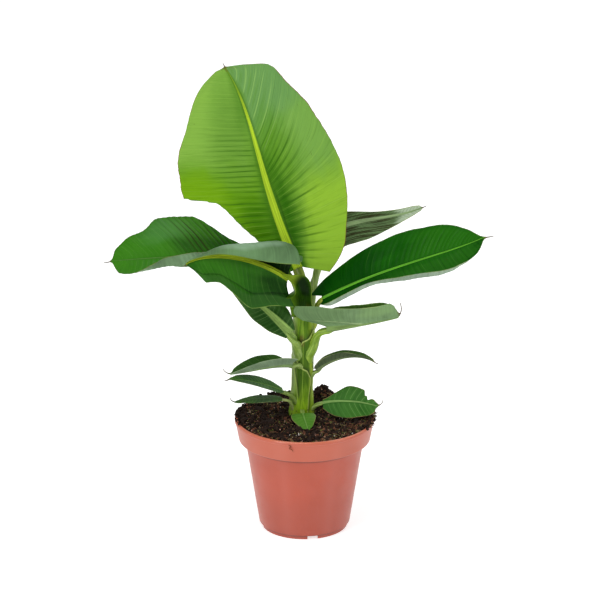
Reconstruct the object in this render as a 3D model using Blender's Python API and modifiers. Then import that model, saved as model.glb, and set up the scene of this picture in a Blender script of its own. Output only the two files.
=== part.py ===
"""Young banana plant in a round nursery pot. The plant stands in potting mix and has thirteen leaves on one
pseudostem. Modelled in metres, +Z up, with the origin at the centre of the pot's underside; the front faces -Y."""

import math

import bmesh
import bpy
import numpy as np

MM = 0.001
GAP = 0.3  # clearance between neighbouring pieces, mm

# ---- driving dimensions, in millimetres and degrees ----
POT_HEIGHT = 139.0
RIM_RADIUS = 85.0
BAND_HEIGHT = 27.0  # turned-down band under the rim
BAND_FOOT_RADIUS = 79.5
NECK_RADIUS = 72.0  # body just under the band
FOOT_RADIUS = 55.5
FOOT_STEP = 5.0
WALL = 2.0
FLOOR_RISE = 4.0  # the floor stands this far above the foot ring
HUB_RADIUS = 11.0  # flat hub in the middle of the underside
NOTCHES = 4  # drain gaps in the foot ring
NOTCH_WIDTH = 13.0
FIRST_NOTCH = 281.0  # direction of the first gap, seen from above
POT_SIDES = 32

SOIL_EDGE = 136.5  # height of the mix at the wall
SOIL_CROWN = 138.5  # height of the mix round the stem
HEAP_AT = (22.0, 60.0)  # a heap at the back right
HEAP_RISE = 15.5
HEAP_RADIUS = 14.0

STEM_FOOT = 131.0
STEM_AXIS = (((-4.0, 8.5, STEM_FOOT), (-3.6, 8.0, 150.0), (-2.2, 7.0, 185.0), (-1.6, 6.4, 215.0), (-1.4, 6.0, 246.0), (-1.8, 6.0, 281.0)))
STEM_RADIUS = (13.5, 15.0, 12.3, 12.6, 13.6, 12.0)
STEM_SIDES = 18
STEM_RINGS = 12

# the plant's heights are scaled by the first number, raised towards the back by the second and lowered by the third
SETTLE = (0.977, 0.064, -1.5)

BLADE = 1.2  # thickness of a blade at its margin
RIB = 3.0  # thickness of a blade along its midrib
STALK_SIDES = 8

GREEN = (0.10, 0.24, 0.035)
LIGHT = (0.24, 0.42, 0.05)
STEM_GREEN = (0.26, 0.38, 0.06)

# stations of a blade's half widths, from the base (0) to the tip (1)
WIDTH_AT = (0.0, 0.1, 0.25, 0.45, 0.65, 0.82, 0.94, 1.0)

# Each leaf: its stalk leaves the stem at joint, the blade runs from base to tip. rises, leaves and ends are the yaw and
# pitch of the midrib at those three points, faces the yaw and pitch of the upper side's normal from base to tip, and
# thick the stalk's radius at its two ends. Each half of the blade has its widths, the angle at which it lifts from the
# midrib and the turn it curls through, both at equal steps from base to tip, and the sweep of its veins. A fold turns
# the outer part of a half over along a line. A tail is the thin dry end of the midrib, given by how far it reaches from
# the tip.
LEAVES = {
    "crown": dict(
        joint=(-2, 6.4, 278), base=(-8, 4, 338), tip=(-94, 70, 568), rises=(180, 86), leaves=(160, 64), ends=(140, 45), pull=(1.4, 0.8),
        tail=(-3.5, 1, 7.0), faces=((283, 18), (283, 18)), thick=(4.5, 3.2), rows=16, columns=(8, 6),
        right=dict(width=(34, 71, 93, 75, 58, 47, 23, 6), lift=(0, 5, 5, 5, 5), curl=(-10, -5, 0, 5, 5), sweep=(-37, 9, 35, 30, 10)),
        left=dict(
            width=(60, 84, 100, 97, 75, 54, 30, 12), lift=(0, 0, 0, 0, 0), curl=(-20, -10, -8, -8, -8), sweep=(0, 22, 13, 13, 24),
            fold=((0, 0.083, 0.125, 0.19, 0.245), (0.3, 0.45, 0.54, 0.66, 1.1), -150),
        ),
    ),
    "front_left": dict(
        joint=(-2, 0, 278), base=(-18, -20, 335), tip=(-139, -50, 366), rises=(215, 88), leaves=(194, 40), ends=(188, -35.5), pull=(1.32, 0.61), stalk_pull=(1.6, 0.8),
        faces=((270, 75), (270, 75)), thick=(5, 3), rows=12, columns=(6, 9),
        trough=dict(opens=((278, 20), (270, 75)), radius=(15, 15.5, 12.5, 4.4), spread=(108, 125, 150, 120)),
        left=dict(width=(20, 35, 52, 44, 32, 29, 19, 5), lift=(-68, -62, -52, -49, -52), curl=(-10, 0, 10, 10, 0), sweep=(-55, -8, -2, -2, -10), lobe=-0.7),
        right=dict(width=(56, 57, 78, 55, 28, 8, 4.5, 3), lift=(-22, -11, 12, -3, -3), curl=(222, 252, 262, 250, 210), sweep=(4, -26, -32, -22, -12)),
    ),
    "back_left": dict(
        joint=(-5.5, 14.5, 278), base=(-66, 28, 344), tip=(-230, 12, 344), rises=(120, 86), leaves=(176, 0), ends=(182, -4),
        tail=(-10.4, -1, -2.2), faces=((270, 80), (270, 80)), thick=(3.4, 2.8), rows=11, columns=(6, 5), stalk_pull=(1.5, 1.2),
        right=dict(width=(14, 28, 64, 66, 46, 34, 20, 5), lift=(20, 20, 20, 20, 15), curl=(-10, -10, -10, -10, -5), sweep=(22, 24, 22, 22, 20)),
        left=dict(width=(14, 24, 36, 44, 40, 38, 28, 5), lift=(-5, -8, -10, 0, -5), curl=(85, 100, 100, 30, 0), sweep=(10, 10, 0, 0, 5)),
    ),
    "right": dict(
        joint=(8, 8, 257), base=(21, -6, 303), tip=(209.5, -35.5, 393), rises=(350, 48), leaves=(350, 28), ends=(350, 15),
        tail=(14.5, -1.5, 2.6), faces=((270, 55), (270, 55)), thick=(3.6, 3), rows=10, columns=(5, 6),
        left=dict(width=(13, 26, 39, 44, 38, 24, 11, 3), lift=(-4, 4, 5, 5, 5), curl=(-20, -10, -10, -10, -5), sweep=(-42, 4, 15, 28, 40)),
        right=dict(width=(9, 22, 20, 32, 38, 28, 16, 5), lift=(0, 0, 0, 0, 0), curl=(20, 60, 50, 30, 20), sweep=(-50, -6, 2, 8, 15)),
    ),
    "back_right": dict(
        joint=(6, 13, 278), base=(19, 38, 345), tip=(142, 112, 372), rises=(30, 86), leaves=(35, 78), ends=(32, 8), pull=(1.0, 1.3),
        tail=(7.7, 2, 2.6), faces=((120, -25), (120, -15)), thick=(4.4, 3.8), rows=10, columns=(4, 4),
        right=dict(width=(10, 18, 20, 15, 9, 7, 6, 4), lift=(20, 20, 20, 20, 20), curl=(0, 0, 0, 0, 0), sweep=(0, 10, 20, 30, 40)),
        left=dict(width=(20, 26, 26, 24, 16, 9, 5, 3), lift=(0, 0, 0, 0, 0), curl=(0, 0, 0, 0, 0), sweep=(0, 25, 40, 55, 60)),
    ),
    "mid_right": dict(
        joint=(4, 2, 236), base=(27, -14, 268), tip=(111, -28, 288), rises=(340, 35), leaves=(350, 8), ends=(350, 18),
        faces=((270, 85), (270, 85)), thick=(5.5, 3), rows=11, columns=(5, 6),
        right=dict(width=(36, 35, 29, 24, 22, 21, 21, 16), lift=(72, 72, 74, 78, 82), curl=(15, 15, 15, 10, 10), sweep=(-45, -18, 0, 5, 5), lobe=2.2),
        left=dict(width=(20, 24, 27, 27, 25, 22, 16, 10), lift=(55, 55, 55, 55, 60), curl=(60, 60, 60, 50, 30), sweep=(-20, -10, 0, 5, 10)),
    ),
    "mid_left": dict(
        joint=(-3, 0, 233), base=(-17, -13, 260), tip=(-88, 5, 314), rises=(225, 60), leaves=(170, 47), ends=(170, 25),
        faces=((255, 60), (260, 70)), thick=(5, 3), rows=9, columns=(4, 4),
        left=dict(width=(8, 12, 17, 19, 15, 10, 6, 3), lift=(-35, -30, -30, -30, -20), curl=(10, 10, 10, 10, 0), sweep=(-10, 0, 10, 20, 30)),
        right=dict(width=(8, 14, 20, 22, 20, 14, 9, 3), lift=(10, 10, 10, 10, 10), curl=(-10, -10, -10, -10, 0), sweep=(-10, 0, 10, 20, 30)),
    ),
    "low_right": dict(
        joint=(6, 5, 194), base=(15, 2, 206), tip=(82, -12, 224), rises=(350, 55), leaves=(350, 45), ends=(348, -25),
        tail=(6.5, 0, -4.4), faces=((270, 80), (270, 80)), thick=(3.5, 2.4), rows=9, columns=(4, 4), rings=5,
        right=dict(width=(6, 9, 12, 12, 9, 6, 4, 2), lift=(60, 60, 60, 50, 50), curl=(10, 10, 10, 10, 0), sweep=(-10, 0, 10, 20, 30)),
        left=dict(width=(5, 7, 9, 9, 7, 5, 3, 2), lift=(50, 50, 50, 50, 50), curl=(20, 20, 20, 20, 0), sweep=(-10, 0, 10, 20, 30)),
    ),
    "low_left": dict(
        joint=(-3, 0, 210), base=(-15, -12, 219), tip=(-88, -35, 217), rises=(225, 45), leaves=(190, 4), ends=(190, -4),
        tail=(-9.1, -1, 6.1), faces=((270, 85), (270, 85)), thick=(4.5, 2.6), rows=9, columns=(4, 4), rings=5,
        left=dict(width=(11, 13, 14, 14, 12, 8, 5, 2), lift=(60, 60, 60, 55, 50), curl=(10, 10, 10, 10, 0), sweep=(-40, -5, 10, 20, 30)),
        right=dict(width=(5, 9, 17, 19, 16, 11, 6, 2), lift=(30, 30, 30, 30, 30), curl=(-10, -10, -10, -10, 0), sweep=(-10, 0, 10, 20, 30)),
    ),
    "lower_left": dict(
        joint=(-9, 2, 161), base=(-26, -15, 186), tip=(-89, -45, 215), rises=(215, 60), leaves=(205, 30), ends=(205, 12),
        tail=(-7.5, -1, -2.8), faces=((270, 75), (270, 75)), thick=(4, 2.4), rows=8, columns=(4, 4), rings=6,
        left=dict(width=(5, 9, 13, 13, 10, 7, 4, 2), lift=(0, 5, 5, 5, 5), curl=(10, 10, 10, 10, 0), sweep=(-10, 0, 10, 20, 30)),
        right=dict(width=(5, 8, 12, 13, 11, 8, 4, 2), lift=(10, 10, 10, 10, 10), curl=(-10, -10, -10, -10, 0), sweep=(-10, 0, 10, 20, 30)),
    ),
    "base_left": dict(
        joint=(-13, 2, 151), base=(-27, -16, 176), tip=(-84, -30, 178), rises=(215, 68), leaves=(188, 8), ends=(190, -4),
        tail=(-5.3, 0, 5), faces=((270, 89), (270, 89)), thick=(2.5, 1.8), rows=8, columns=(4, 4), rings=6,
        left=dict(width=(4, 7, 9, 9, 8, 5, 4, 2), lift=(-5, -5, -5, -5, -5), curl=(0, 0, 0, 0, 0), sweep=(-10, 0, 10, 20, 30)),
        right=dict(width=(5, 9, 12, 13, 11, 7, 4, 2), lift=(-5, -5, -5, -5, -5), curl=(0, 0, 0, 0, 0), sweep=(-10, 0, 10, 20, 30)),
    ),
    "base_right": dict(
        joint=(6, 4, 152), base=(22, -2, 164), tip=(88, -12, 164), rises=(345, 35), leaves=(350, 15), ends=(345, -12),
        tail=(6.6, 1, 7.3), faces=((270, 50), (270, 45)), thick=(3.5, 2.4), rows=9, columns=(4, 4), rings=5,
        right=dict(width=(7, 13, 19, 21, 18, 14, 9, 3), lift=(-5, -5, -5, -5, -5), curl=(-10, -10, -10, -10, 0), sweep=(-10, 0, 10, 20, 30)),
        left=dict(width=(4, 6, 12, 20, 17, 9, 5, 3), lift=(5, 5, 5, 5, 5), curl=(-10, -10, -10, -10, 0), sweep=(-20, 0, 10, 20, 30)),
    ),
    "base_front": dict(
        joint=(-3, 2, 153), base=(-2, -15, 156), tip=(4, -45, 148), rises=(270, 20), leaves=(275, 0), ends=(285, -35),
        faces=((270, 70), (270, 60)), thick=(3, 2.4), rows=8, columns=(4, 4), rings=4,
        left=dict(width=(12, 14, 15, 13, 10, 7, 4, 2), lift=(0, 0, 0, 0, 0), curl=(-10, -10, -10, -10, 0), sweep=(-10, 0, 10, 20, 30)),
        right=dict(width=(12, 15, 15, 13, 10, 7, 4, 2), lift=(0, 0, 0, 0, 0), curl=(-10, -10, -10, -10, 0), sweep=(-10, 0, 10, 20, 30)),
    ),
}


def vec(*p):
    return np.array(p, dtype=float)


def unit(v):
    return v / np.linalg.norm(v)


def settle(p):
    """Where a point of the plant stands once it is set down in the pot."""
    return vec(p[0], p[1], SETTLE[0] * p[2] + SETTLE[1] * p[1] + SETTLE[2])


def heading(yaw, pitch):
    y, p = math.radians(yaw), math.radians(pitch)
    return vec(math.cos(p) * math.cos(y), math.cos(p) * math.sin(y), math.sin(p))


def curve(p0, d0, p1, d1, t, pull0=1.0, pull1=1.0):
    """Point at t of the cubic that leaves p0 along d0 and reaches p1 along d1."""
    k = np.linalg.norm(p1 - p0) / 3.0
    a, b, u = p0 + d0 * k * pull0, p1 - d1 * k * pull1, 1.0 - t
    return u**3 * p0 + 3 * u * u * t * a + 3 * u * t * t * b + t**3 * p1


def smooth(xs, ys, x):
    """Monotone cubic through the stations (xs, ys)."""
    xs, ys = np.asarray(xs, float), np.asarray(ys, float)
    h, d = np.diff(xs), np.diff(ys) / np.diff(xs)
    m = np.zeros(len(xs))
    m[0], m[-1] = d[0], d[-1]
    for i in range(1, len(xs) - 1):
        if d[i - 1] * d[i] > 0:
            w1, w2 = 2 * h[i] + h[i - 1], h[i] + 2 * h[i - 1]
            m[i] = (w1 + w2) / (w1 / d[i - 1] + w2 / d[i])
    x = min(max(x, xs[0]), xs[-1])
    i = min(int(np.searchsorted(xs, x, side="right")) - 1, len(xs) - 2)
    t = (x - xs[i]) / h[i]
    return (
        (1 + 2 * t) * (1 - t) ** 2 * ys[i]
        + t * (1 - t) ** 2 * h[i] * m[i]
        + t * t * (3 - 2 * t) * ys[i + 1]
        + t * t * (t - 1) * h[i] * m[i + 1]
    )


def along(values, s):
    """Value at s of a quantity given at equal steps from base to tip."""
    return smooth(np.linspace(0, 1, len(values)), values, s)


def midrib(leaf, s):
    b, t = vec(*leaf["base"]), vec(*leaf["tip"])
    return curve(b, heading(*leaf["leaves"]), t, heading(*leaf["ends"]), s, *leaf.get("pull", (1.0, 1.0)))


def frame(leaf, s):
    """Tangent, upper normal and right-hand direction of the blade at s."""
    e = 1e-3
    t = unit(midrib(leaf, min(s + e, 1.0)) - midrib(leaf, max(s - e, 0.0)))
    faces = [heading(*f) for f in leaf["faces"]]
    n = vec(*[along([f[i] for f in faces], s) for i in range(3)])
    n = unit(n - t * n.dot(t))
    return t, n, np.cross(t, n)


STEPS = 48
TAIL_ROWS = 2
STRAIGHT = 4.0  # the base runs square to the midrib this far, clear of the stalk


def half_row(leaf, s, us, side):
    """Points of one half of the blade at s, from the midrib (u = 0) to the margin (u = 1)."""
    half = leaf[side]
    t, n, r = frame(leaf, s)
    out = r if side == "right" else -r
    w = smooth(WIDTH_AT, half["width"], s)
    a, c = math.radians(along(half["lift"], s)), math.radians(along(half["curl"], s))
    sweep = math.tan(math.radians(along(half["sweep"], s)))
    lobe = half.get("lobe", 0.0) * (1.0 - s) ** 4
    m = midrib(leaf, s)
    u = np.linspace(0, 1, STEPS + 1)
    turn = a + c * u
    if "fold" in half and s < half["fold"][0][-1]:
        at = smooth(half["fold"][0], half["fold"][1], s)
        x = np.clip((u - at) / 0.12 + 0.5, 0, 1)
        turn = turn + math.radians(half["fold"][2]) * x * x * (3 - 2 * x)
    mid = (turn[1:] + turn[:-1]) / 2
    p = np.concatenate([[0], np.cumsum(np.cos(mid)) / STEPS])
    q = np.concatenate([[0], np.cumsum(np.sin(mid)) / STEPS])
    row = []
    for v in us:
        back = max(v * w - STRAIGHT, 0.0) * (1 + lobe * (1 - v)) * sweep
        row.append(m + w * (np.interp(v, u, p) * out + np.interp(v, u, q) * n) + back * t)
    return row


def half_columns(half, s, count):
    """Where the columns of a half stand, close together on either side of its fold."""
    if "fold" not in half:
        return [0.0, 0.12] + [0.12 + 0.88 * (i + 1) / (count - 2) for i in range(count - 2)]
    at = min(smooth(half["fold"][0], half["fold"][1], s), 0.86)
    return [0.0, 0.1, 0.1 + 0.4 * (at - 0.16), 0.1 + 0.75 * (at - 0.16), at - 0.06, at + 0.06, (at + 1.06) / 2, 1.0]


def tail_rows(leaf, count, middle):
    """Rows of the dry tail that runs on from the tip."""
    t, n, r = frame(leaf, 1.0)
    tip, reach = vec(*leaf["tip"]), vec(*leaf["tail"])
    rows = []
    for i in range(TAIL_ROWS):
        x = (i + 1) / TAIL_ROWS
        centre = tip + reach * x + t * 0.35 * np.linalg.norm(reach) * x * (1 - x)
        half = 1.7 - 1.0 * x
        row = [centre + r * half * (j - middle) / (middle if j < middle else count - 1 - middle) for j in range(count)]
        rows.append(row)
    return rows


def new_object(name, mesh, collection, colour, rough, metallic=0.0):
    mesh.name = name
    obj = bpy.data.objects.new(name, mesh)
    collection.objects.link(obj)
    mat = bpy.data.materials.new(name + "_finish")
    mat.use_nodes = True
    shader = mat.node_tree.nodes["Principled BSDF"]
    shader.inputs["Base Color"].default_value = (*colour, 1.0)
    shader.inputs["Roughness"].default_value = rough
    shader.inputs["Metallic"].default_value = metallic
    mesh.materials.append(mat)
    return obj


def grid_mesh(rows):
    """Open quad surface through equal rows of points in millimetres."""
    mesh = bpy.data.meshes.new("surface")
    count = len(rows[0])
    verts = [tuple(float(c) * MM for c in p) for row in rows for p in row]
    faces = [
        (i * count + j, i * count + j + 1, (i + 1) * count + j + 1, (i + 1) * count + j)
        for i in range(len(rows) - 1)
        for j in range(count - 1)
    ]
    mesh.from_pydata(verts, [], faces)
    return mesh


def loft_mesh(rings, capped=True):
    """Closed loft through equal closed rings of points in millimetres."""
    mesh = bpy.data.meshes.new("loft")
    count = len(rings[0])
    verts = [tuple(float(c) * MM for c in p) for ring in rings for p in ring]
    faces = []
    for i in range(len(rings) - 1):
        for j in range(count):
            k = (j + 1) % count
            faces.append((i * count + j, i * count + k, (i + 1) * count + k, (i + 1) * count + j))
    if capped:
        faces.append(tuple(reversed(range(count))))
        faces.append(tuple((len(rings) - 1) * count + j for j in range(count)))
    mesh.from_pydata(verts, [], faces)
    bm = bmesh.new()
    bm.from_mesh(mesh)
    bmesh.ops.recalc_face_normals(bm, faces=bm.faces)
    bm.to_mesh(mesh)
    bm.free()
    return mesh


def tube_rings(path, radii, sides):
    """Round rings square to a path, carried along without twist."""
    rings = []
    side = None
    for i, p in enumerate(path):
        t = unit(path[min(i + 1, len(path) - 1)] - path[max(i - 1, 0)])
        if side is None:
            side = vec(1, 0, 0) if abs(t[0]) < 0.8 else vec(0, 1, 0)
        side = unit(side - t * side.dot(t))
        up = np.cross(t, side)
        rings.append(
            [p + radii[i] * (math.cos(a) * side + math.sin(a) * up) for a in [2 * math.pi * k / sides for k in range(sides)]]
        )
    return rings


def turned(name, outer, inner, sides, collection, colour, rough, metallic=0.0):
    """Body of revolution: outer runs down the outer side to the axis, inner runs from the axis up the inner side."""
    mesh = bpy.data.meshes.new(name)
    count, total = len(outer), len(outer) + len(inner)
    edges = [(i, i + 1) for i in range(total - 1) if i != count - 1] + [(total - 1, 0)]
    mesh.from_pydata([(r * MM, 0, z * MM) for r, z in outer + inner], edges, [])
    obj = new_object(name, mesh, collection, colour, rough, metallic)
    screw = obj.modifiers.new("turn", "SCREW")
    screw.steps = screw.render_steps = sides
    screw.use_merge_vertices = True
    screw.merge_threshold = 0.00005
    screw.use_smooth_shade = True
    return obj


def cutter(name, mesh, cutters):
    obj = bpy.data.objects.new(name, mesh)
    cutters.objects.link(obj)
    obj.hide_render = True
    obj.display_type = "WIRE"
    return obj


def cut(obj, tool):
    boolean = obj.modifiers.new("cut_" + tool.name, "BOOLEAN")
    boolean.operation = "DIFFERENCE"
    boolean.solver = "EXACT"
    boolean.object = tool


def stem_rings(grow, top=0.0):
    """Rings of the pseudostem, all grown by a margin, the last one raised by top."""
    zs = [p[2] for p in STEM_AXIS]
    rings = []
    for i in range(STEM_RINGS + 1):
        z = STEM_FOOT + (zs[-1] - STEM_FOOT) * i / STEM_RINGS
        centre = vec(smooth(zs, [p[0] for p in STEM_AXIS], z), smooth(zs, [p[1] for p in STEM_AXIS], z), z)
        radius = smooth(zs, STEM_RADIUS, z) + grow
        if i == STEM_RINGS:
            centre[2] += top
        if i == 0:
            centre[2] -= grow
        # the leaf sheaths wrap it a little wider across than deep
        rings.append(
            [
                settle(centre + vec(radius * math.cos(a), radius * 0.94 * math.sin(a), 0))
                for a in [2 * math.pi * k / STEM_SIDES for k in range(STEM_SIDES)]
            ]
        )
    return rings


def soil_height(x, y):
    """Uneven top of the potting mix: higher round the stem, with a heap at the back."""
    r = math.hypot(x, y)
    z = SOIL_EDGE + (SOIL_CROWN - SOIL_EDGE) * (0.5 + 0.5 * math.cos(math.pi * min(r / 78.0, 1.0))) ** 0.8
    z += HEAP_RISE * math.exp(-((x - HEAP_AT[0]) ** 2 + (y - HEAP_AT[1]) ** 2) / HEAP_RADIUS**2)
    return z + 1.1 * math.sin(0.16 * x + 1.0) * math.cos(0.19 * y) + 0.8 * math.sin(0.31 * x - 0.27 * y)


def make_pot(parts, cutters):
    top, rim, wall = POT_HEIGHT, RIM_RADIUS, WALL
    band = top - BAND_HEIGHT
    foot = FOOT_RADIUS
    outer = [
        (rim - 3.6, top),
        (rim - 1.0, top),
        (rim, top - 1.0),
        (rim - 0.4, top - 4.0),
        (BAND_FOOT_RADIUS + 0.6, band + 1.0),
        (BAND_FOOT_RADIUS - 0.4, band),
        (NECK_RADIUS, band - 2.0),
        (foot, FOOT_STEP + 0.6),
        (foot - 2.4, FOOT_STEP),
        (foot - 3.0, 0.0),
        (foot - 6.0, 0.0),
        (foot - 6.8, FLOOR_RISE),
        (HUB_RADIUS + 1.5, FLOOR_RISE),
        (HUB_RADIUS, 0.0),
        (0.0, 0.0),
    ]
    inner = [
        (0.0, FLOOR_RISE + wall),
        (foot - 3.6, FLOOR_RISE + wall),
        (NECK_RADIUS - wall, band - 3.0),
        (NECK_RADIUS - wall + 1.2, band + 0.6),
        (BAND_FOOT_RADIUS - wall - 0.2, band + wall + 1.0),
        (rim - 4.6, top - 4.0),
    ]
    pot = turned("pot", outer, inner, POT_SIDES, parts, (0.62, 0.20, 0.12), 0.42)
    for i in range(NOTCHES):
        bm = bmesh.new()
        bmesh.ops.create_cube(bm, size=1.0)
        angle = math.radians(FIRST_NOTCH + 360.0 * i / NOTCHES)
        for v in bm.verts:
            x = foot - 4.5 + v.co.x * 17.0
            y = v.co.y * NOTCH_WIDTH
            z = 1.5 + v.co.z * 5.2
            v.co = (
                (x * math.cos(angle) - y * math.sin(angle)) * MM,
                (x * math.sin(angle) + y * math.cos(angle)) * MM,
                z * MM,
            )
        mesh = bpy.data.meshes.new("notch_tool_%d" % i)
        bm.to_mesh(mesh)
        bm.free()
        cut(pot, cutter("notch_tool_%d" % i, mesh, cutters))
    return pot


def make_soil(parts, stem_tool):
    foot = FOOT_RADIUS - 3.6 - GAP
    neck = NECK_RADIUS - WALL - GAP
    band = POT_HEIGHT - BAND_HEIGHT
    low = FLOOR_RISE + WALL + GAP
    walls = [
        (foot, low),
        (neck, band - 3.0),
        (neck + 1.2, band + 0.9),
        (BAND_FOOT_RADIUS - WALL - 0.2 - GAP, band + WALL + 1.6),
        (BAND_FOOT_RADIUS - 0.2, SOIL_EDGE - 2.0),
    ]
    angles = [2 * math.pi * k / POT_SIDES for k in range(POT_SIDES)]
    rings = [[vec(r * math.cos(a), r * math.sin(a), z) for a in angles] for r, z in walls]
    for r in (77.0, 68.0, 57.0, 44.0, 28.0):
        rings.append([vec(r * math.cos(a), r * math.sin(a), soil_height(r * math.cos(a), r * math.sin(a))) for a in angles])
    soil = new_object("soil", loft_mesh(rings), parts, (0.045, 0.028, 0.018), 0.95)
    cut(soil, stem_tool)
    return soil


def make_stalk(name, leaf, parts, stem_tool):
    rings = leaf.get("rings", 7)
    end = vec(*leaf["base"]) - heading(*leaf["leaves"]) * (GAP + 0.8)
    start, d0, d1 = vec(*leaf["joint"]), heading(*leaf["rises"]), heading(*leaf["leaves"])
    path = [curve(start, d0, end, d1, i / rings, *leaf.get("stalk_pull", (1.0, 1.0))) for i in range(rings + 1)]
    r0, r1 = leaf["thick"]
    radii = [r1 + (r0 - r1) * (1 - i / rings) ** 1.3 for i in range(rings + 1)]
    stalk = new_object("stalk_" + name, loft_mesh([[settle(p) for p in ring] for ring in tube_rings(path, radii, STALK_SIDES)]), parts, LIGHT, 0.5)
    cut(stalk, stem_tool)
    return stalk


def make_sheath(name, leaf, parts, stem_tool):
    """Open trough of a sheathing stalk: shallow crescents that narrow from the stem to the midrib."""
    rings = []
    count = 9
    end = vec(*leaf["base"]) - heading(*leaf["leaves"]) * (GAP + 0.6)
    start, d0, d1 = vec(*leaf["joint"]), heading(*leaf["rises"]), heading(*leaf["leaves"])
    first, last = [heading(*o) for o in leaf["trough"]["opens"]]
    for i in range(count + 1):
        t = i / count
        p = curve(start, d0, end, d1, t, *leaf.get("stalk_pull", (1.0, 1.0)))
        q = curve(start, d0, end, d1, min(t + 0.01, 1.0), *leaf.get("stalk_pull", (1.0, 1.0)))
        o = curve(start, d0, end, d1, max(t - 0.01, 0.0), *leaf.get("stalk_pull", (1.0, 1.0)))
        axis = unit(q - o)
        opens = first + (last - first) * t
        up = unit(opens - axis * opens.dot(axis))
        side = np.cross(axis, up)
        wide = smooth((0, 0.35, 0.7, 1), leaf["trough"]["radius"], t)
        spread = math.radians(smooth((0, 0.35, 0.7, 1), leaf["trough"]["spread"], t))
        thick = 1.9
        ring = []
        for k in range(9):
            a = -spread / 2 + spread * k / 8
            ring.append(p + wide * (math.sin(a) * side + (1 - math.cos(a)) * up))
        for k in range(8, -1, -1):
            a = -spread / 2 + spread * k / 8
            edge = 0.6 if k in (0, 8) else thick
            ring.append(p + edge * up * math.cos(a) - edge * side * math.sin(a) + wide * (math.sin(a) * side + (1 - math.cos(a)) * up))
        rings.append([settle(p) for p in ring])
    stalk = new_object("stalk_" + name, loft_mesh(rings), parts, LIGHT, 0.5)
    cut(stalk, stem_tool)
    return stalk


def make_blade(name, leaf, parts):
    rows = leaf.get("rows", 12)
    left_count, right_count = leaf.get("columns", (5, 5))
    grid = []
    for i in range(rows + 1):
        s = i / rows
        ul = half_columns(leaf["left"], s, left_count)
        ur = half_columns(leaf["right"], s, right_count)
        left = half_row(leaf, s, ul, "left")
        right = half_row(leaf, s, ur, "right")
        grid.append(left[::-1] + right[1:])
    if "tail" in leaf:
        grid += tail_rows(leaf, len(grid[0]), len(ul) - 1)
        rows = len(grid) - 1
    mesh = grid_mesh([[settle(p) for p in row] for row in grid])
    colour = LIGHT if name == "crown" else GREEN
    blade = new_object("leaf_" + name, mesh, parts, colour, 0.42)
    rib = blade.vertex_groups.new(name="rib")
    count = len(grid[0])
    middle = len(half_columns(leaf["left"], 0.0, left_count)) - 1
    for i in range(rows + 1):
        full = 1.0 - 0.55 * i / rows
        for j in range(count):
            rib.add([i * count + j], full if j == middle else 0.0, "REPLACE")
    solid = blade.modifiers.new("thickness", "SOLIDIFY")
    solid.thickness = RIB * MM
    solid.vertex_group = "rib"
    solid.thickness_vertex_group = BLADE / RIB
    solid.offset = -1.0
    solid.use_even_offset = False
    return blade


def main():
    for obj in list(bpy.data.objects):
        bpy.data.objects.remove(obj, do_unlink=True)
    parts = bpy.data.collections.new("potted_banana_plant")
    cutters = bpy.data.collections.new("cutters")
    bpy.context.scene.collection.children.link(parts)
    bpy.context.scene.collection.children.link(cutters)
    root = bpy.data.objects.new("potted_banana_plant_base", None)
    parts.objects.link(root)

    stem_tool = cutter("stem_tool", loft_mesh(stem_rings(GAP, GAP)), cutters)
    pieces = [make_pot(parts, cutters), make_soil(parts, stem_tool)]
    pieces.append(new_object("pseudostem", loft_mesh(stem_rings(0.0)), parts, STEM_GREEN, 0.5))
    for name, leaf in LEAVES.items():
        if "trough" in leaf:
            pieces.append(make_sheath(name, leaf, parts, stem_tool))
        else:
            pieces.append(make_stalk(name, leaf, parts, stem_tool))
        pieces.append(make_blade(name, leaf, parts))
    for piece in pieces:
        piece.parent = root


main()
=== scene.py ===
"""Potted banana plant: looks. Builds the blades, stalks, pseudostem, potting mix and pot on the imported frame."""
import math

import bmesh
import bpy
import numpy as np
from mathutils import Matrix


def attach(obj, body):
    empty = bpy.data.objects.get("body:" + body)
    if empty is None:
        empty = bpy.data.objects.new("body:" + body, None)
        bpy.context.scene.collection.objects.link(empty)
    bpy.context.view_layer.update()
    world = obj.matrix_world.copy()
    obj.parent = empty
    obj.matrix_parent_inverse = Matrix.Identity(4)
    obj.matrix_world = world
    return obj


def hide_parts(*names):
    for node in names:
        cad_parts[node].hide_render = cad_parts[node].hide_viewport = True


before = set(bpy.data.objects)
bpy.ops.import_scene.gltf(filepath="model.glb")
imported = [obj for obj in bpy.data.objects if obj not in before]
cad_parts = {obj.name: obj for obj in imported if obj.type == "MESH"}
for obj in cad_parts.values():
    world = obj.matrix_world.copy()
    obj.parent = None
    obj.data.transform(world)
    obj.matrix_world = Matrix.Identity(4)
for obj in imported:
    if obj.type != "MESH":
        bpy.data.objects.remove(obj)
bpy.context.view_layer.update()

MM = 0.001

# ------------------------------------------------------------------ camera, floor, light
ELEVATION, DISTANCE, LENS = 19.6, 4.0, 200.0
TARGET = (-0.0055, 0.0, 0.2899)


def aim(obj, target):
    d = np.array(target) - np.array(obj.location)
    obj.rotation_euler = (math.acos(-d[2] / np.linalg.norm(d)), 0, math.atan2(-d[0], d[1]))


def make_camera():
    cam = bpy.data.cameras.new("camera")
    cam.lens, cam.sensor_width = LENS, 36.0
    cam.clip_start, cam.clip_end = 0.1, 50.0
    ob = bpy.data.objects.new("camera", cam)
    bpy.context.scene.collection.objects.link(ob)
    e = math.radians(ELEVATION)
    ob.location = (TARGET[0], TARGET[1] - DISTANCE * math.cos(e), TARGET[2] + DISTANCE * math.sin(e))
    ob.rotation_euler = (math.pi / 2 - e, 0, 0)
    bpy.context.scene.camera = ob


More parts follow.
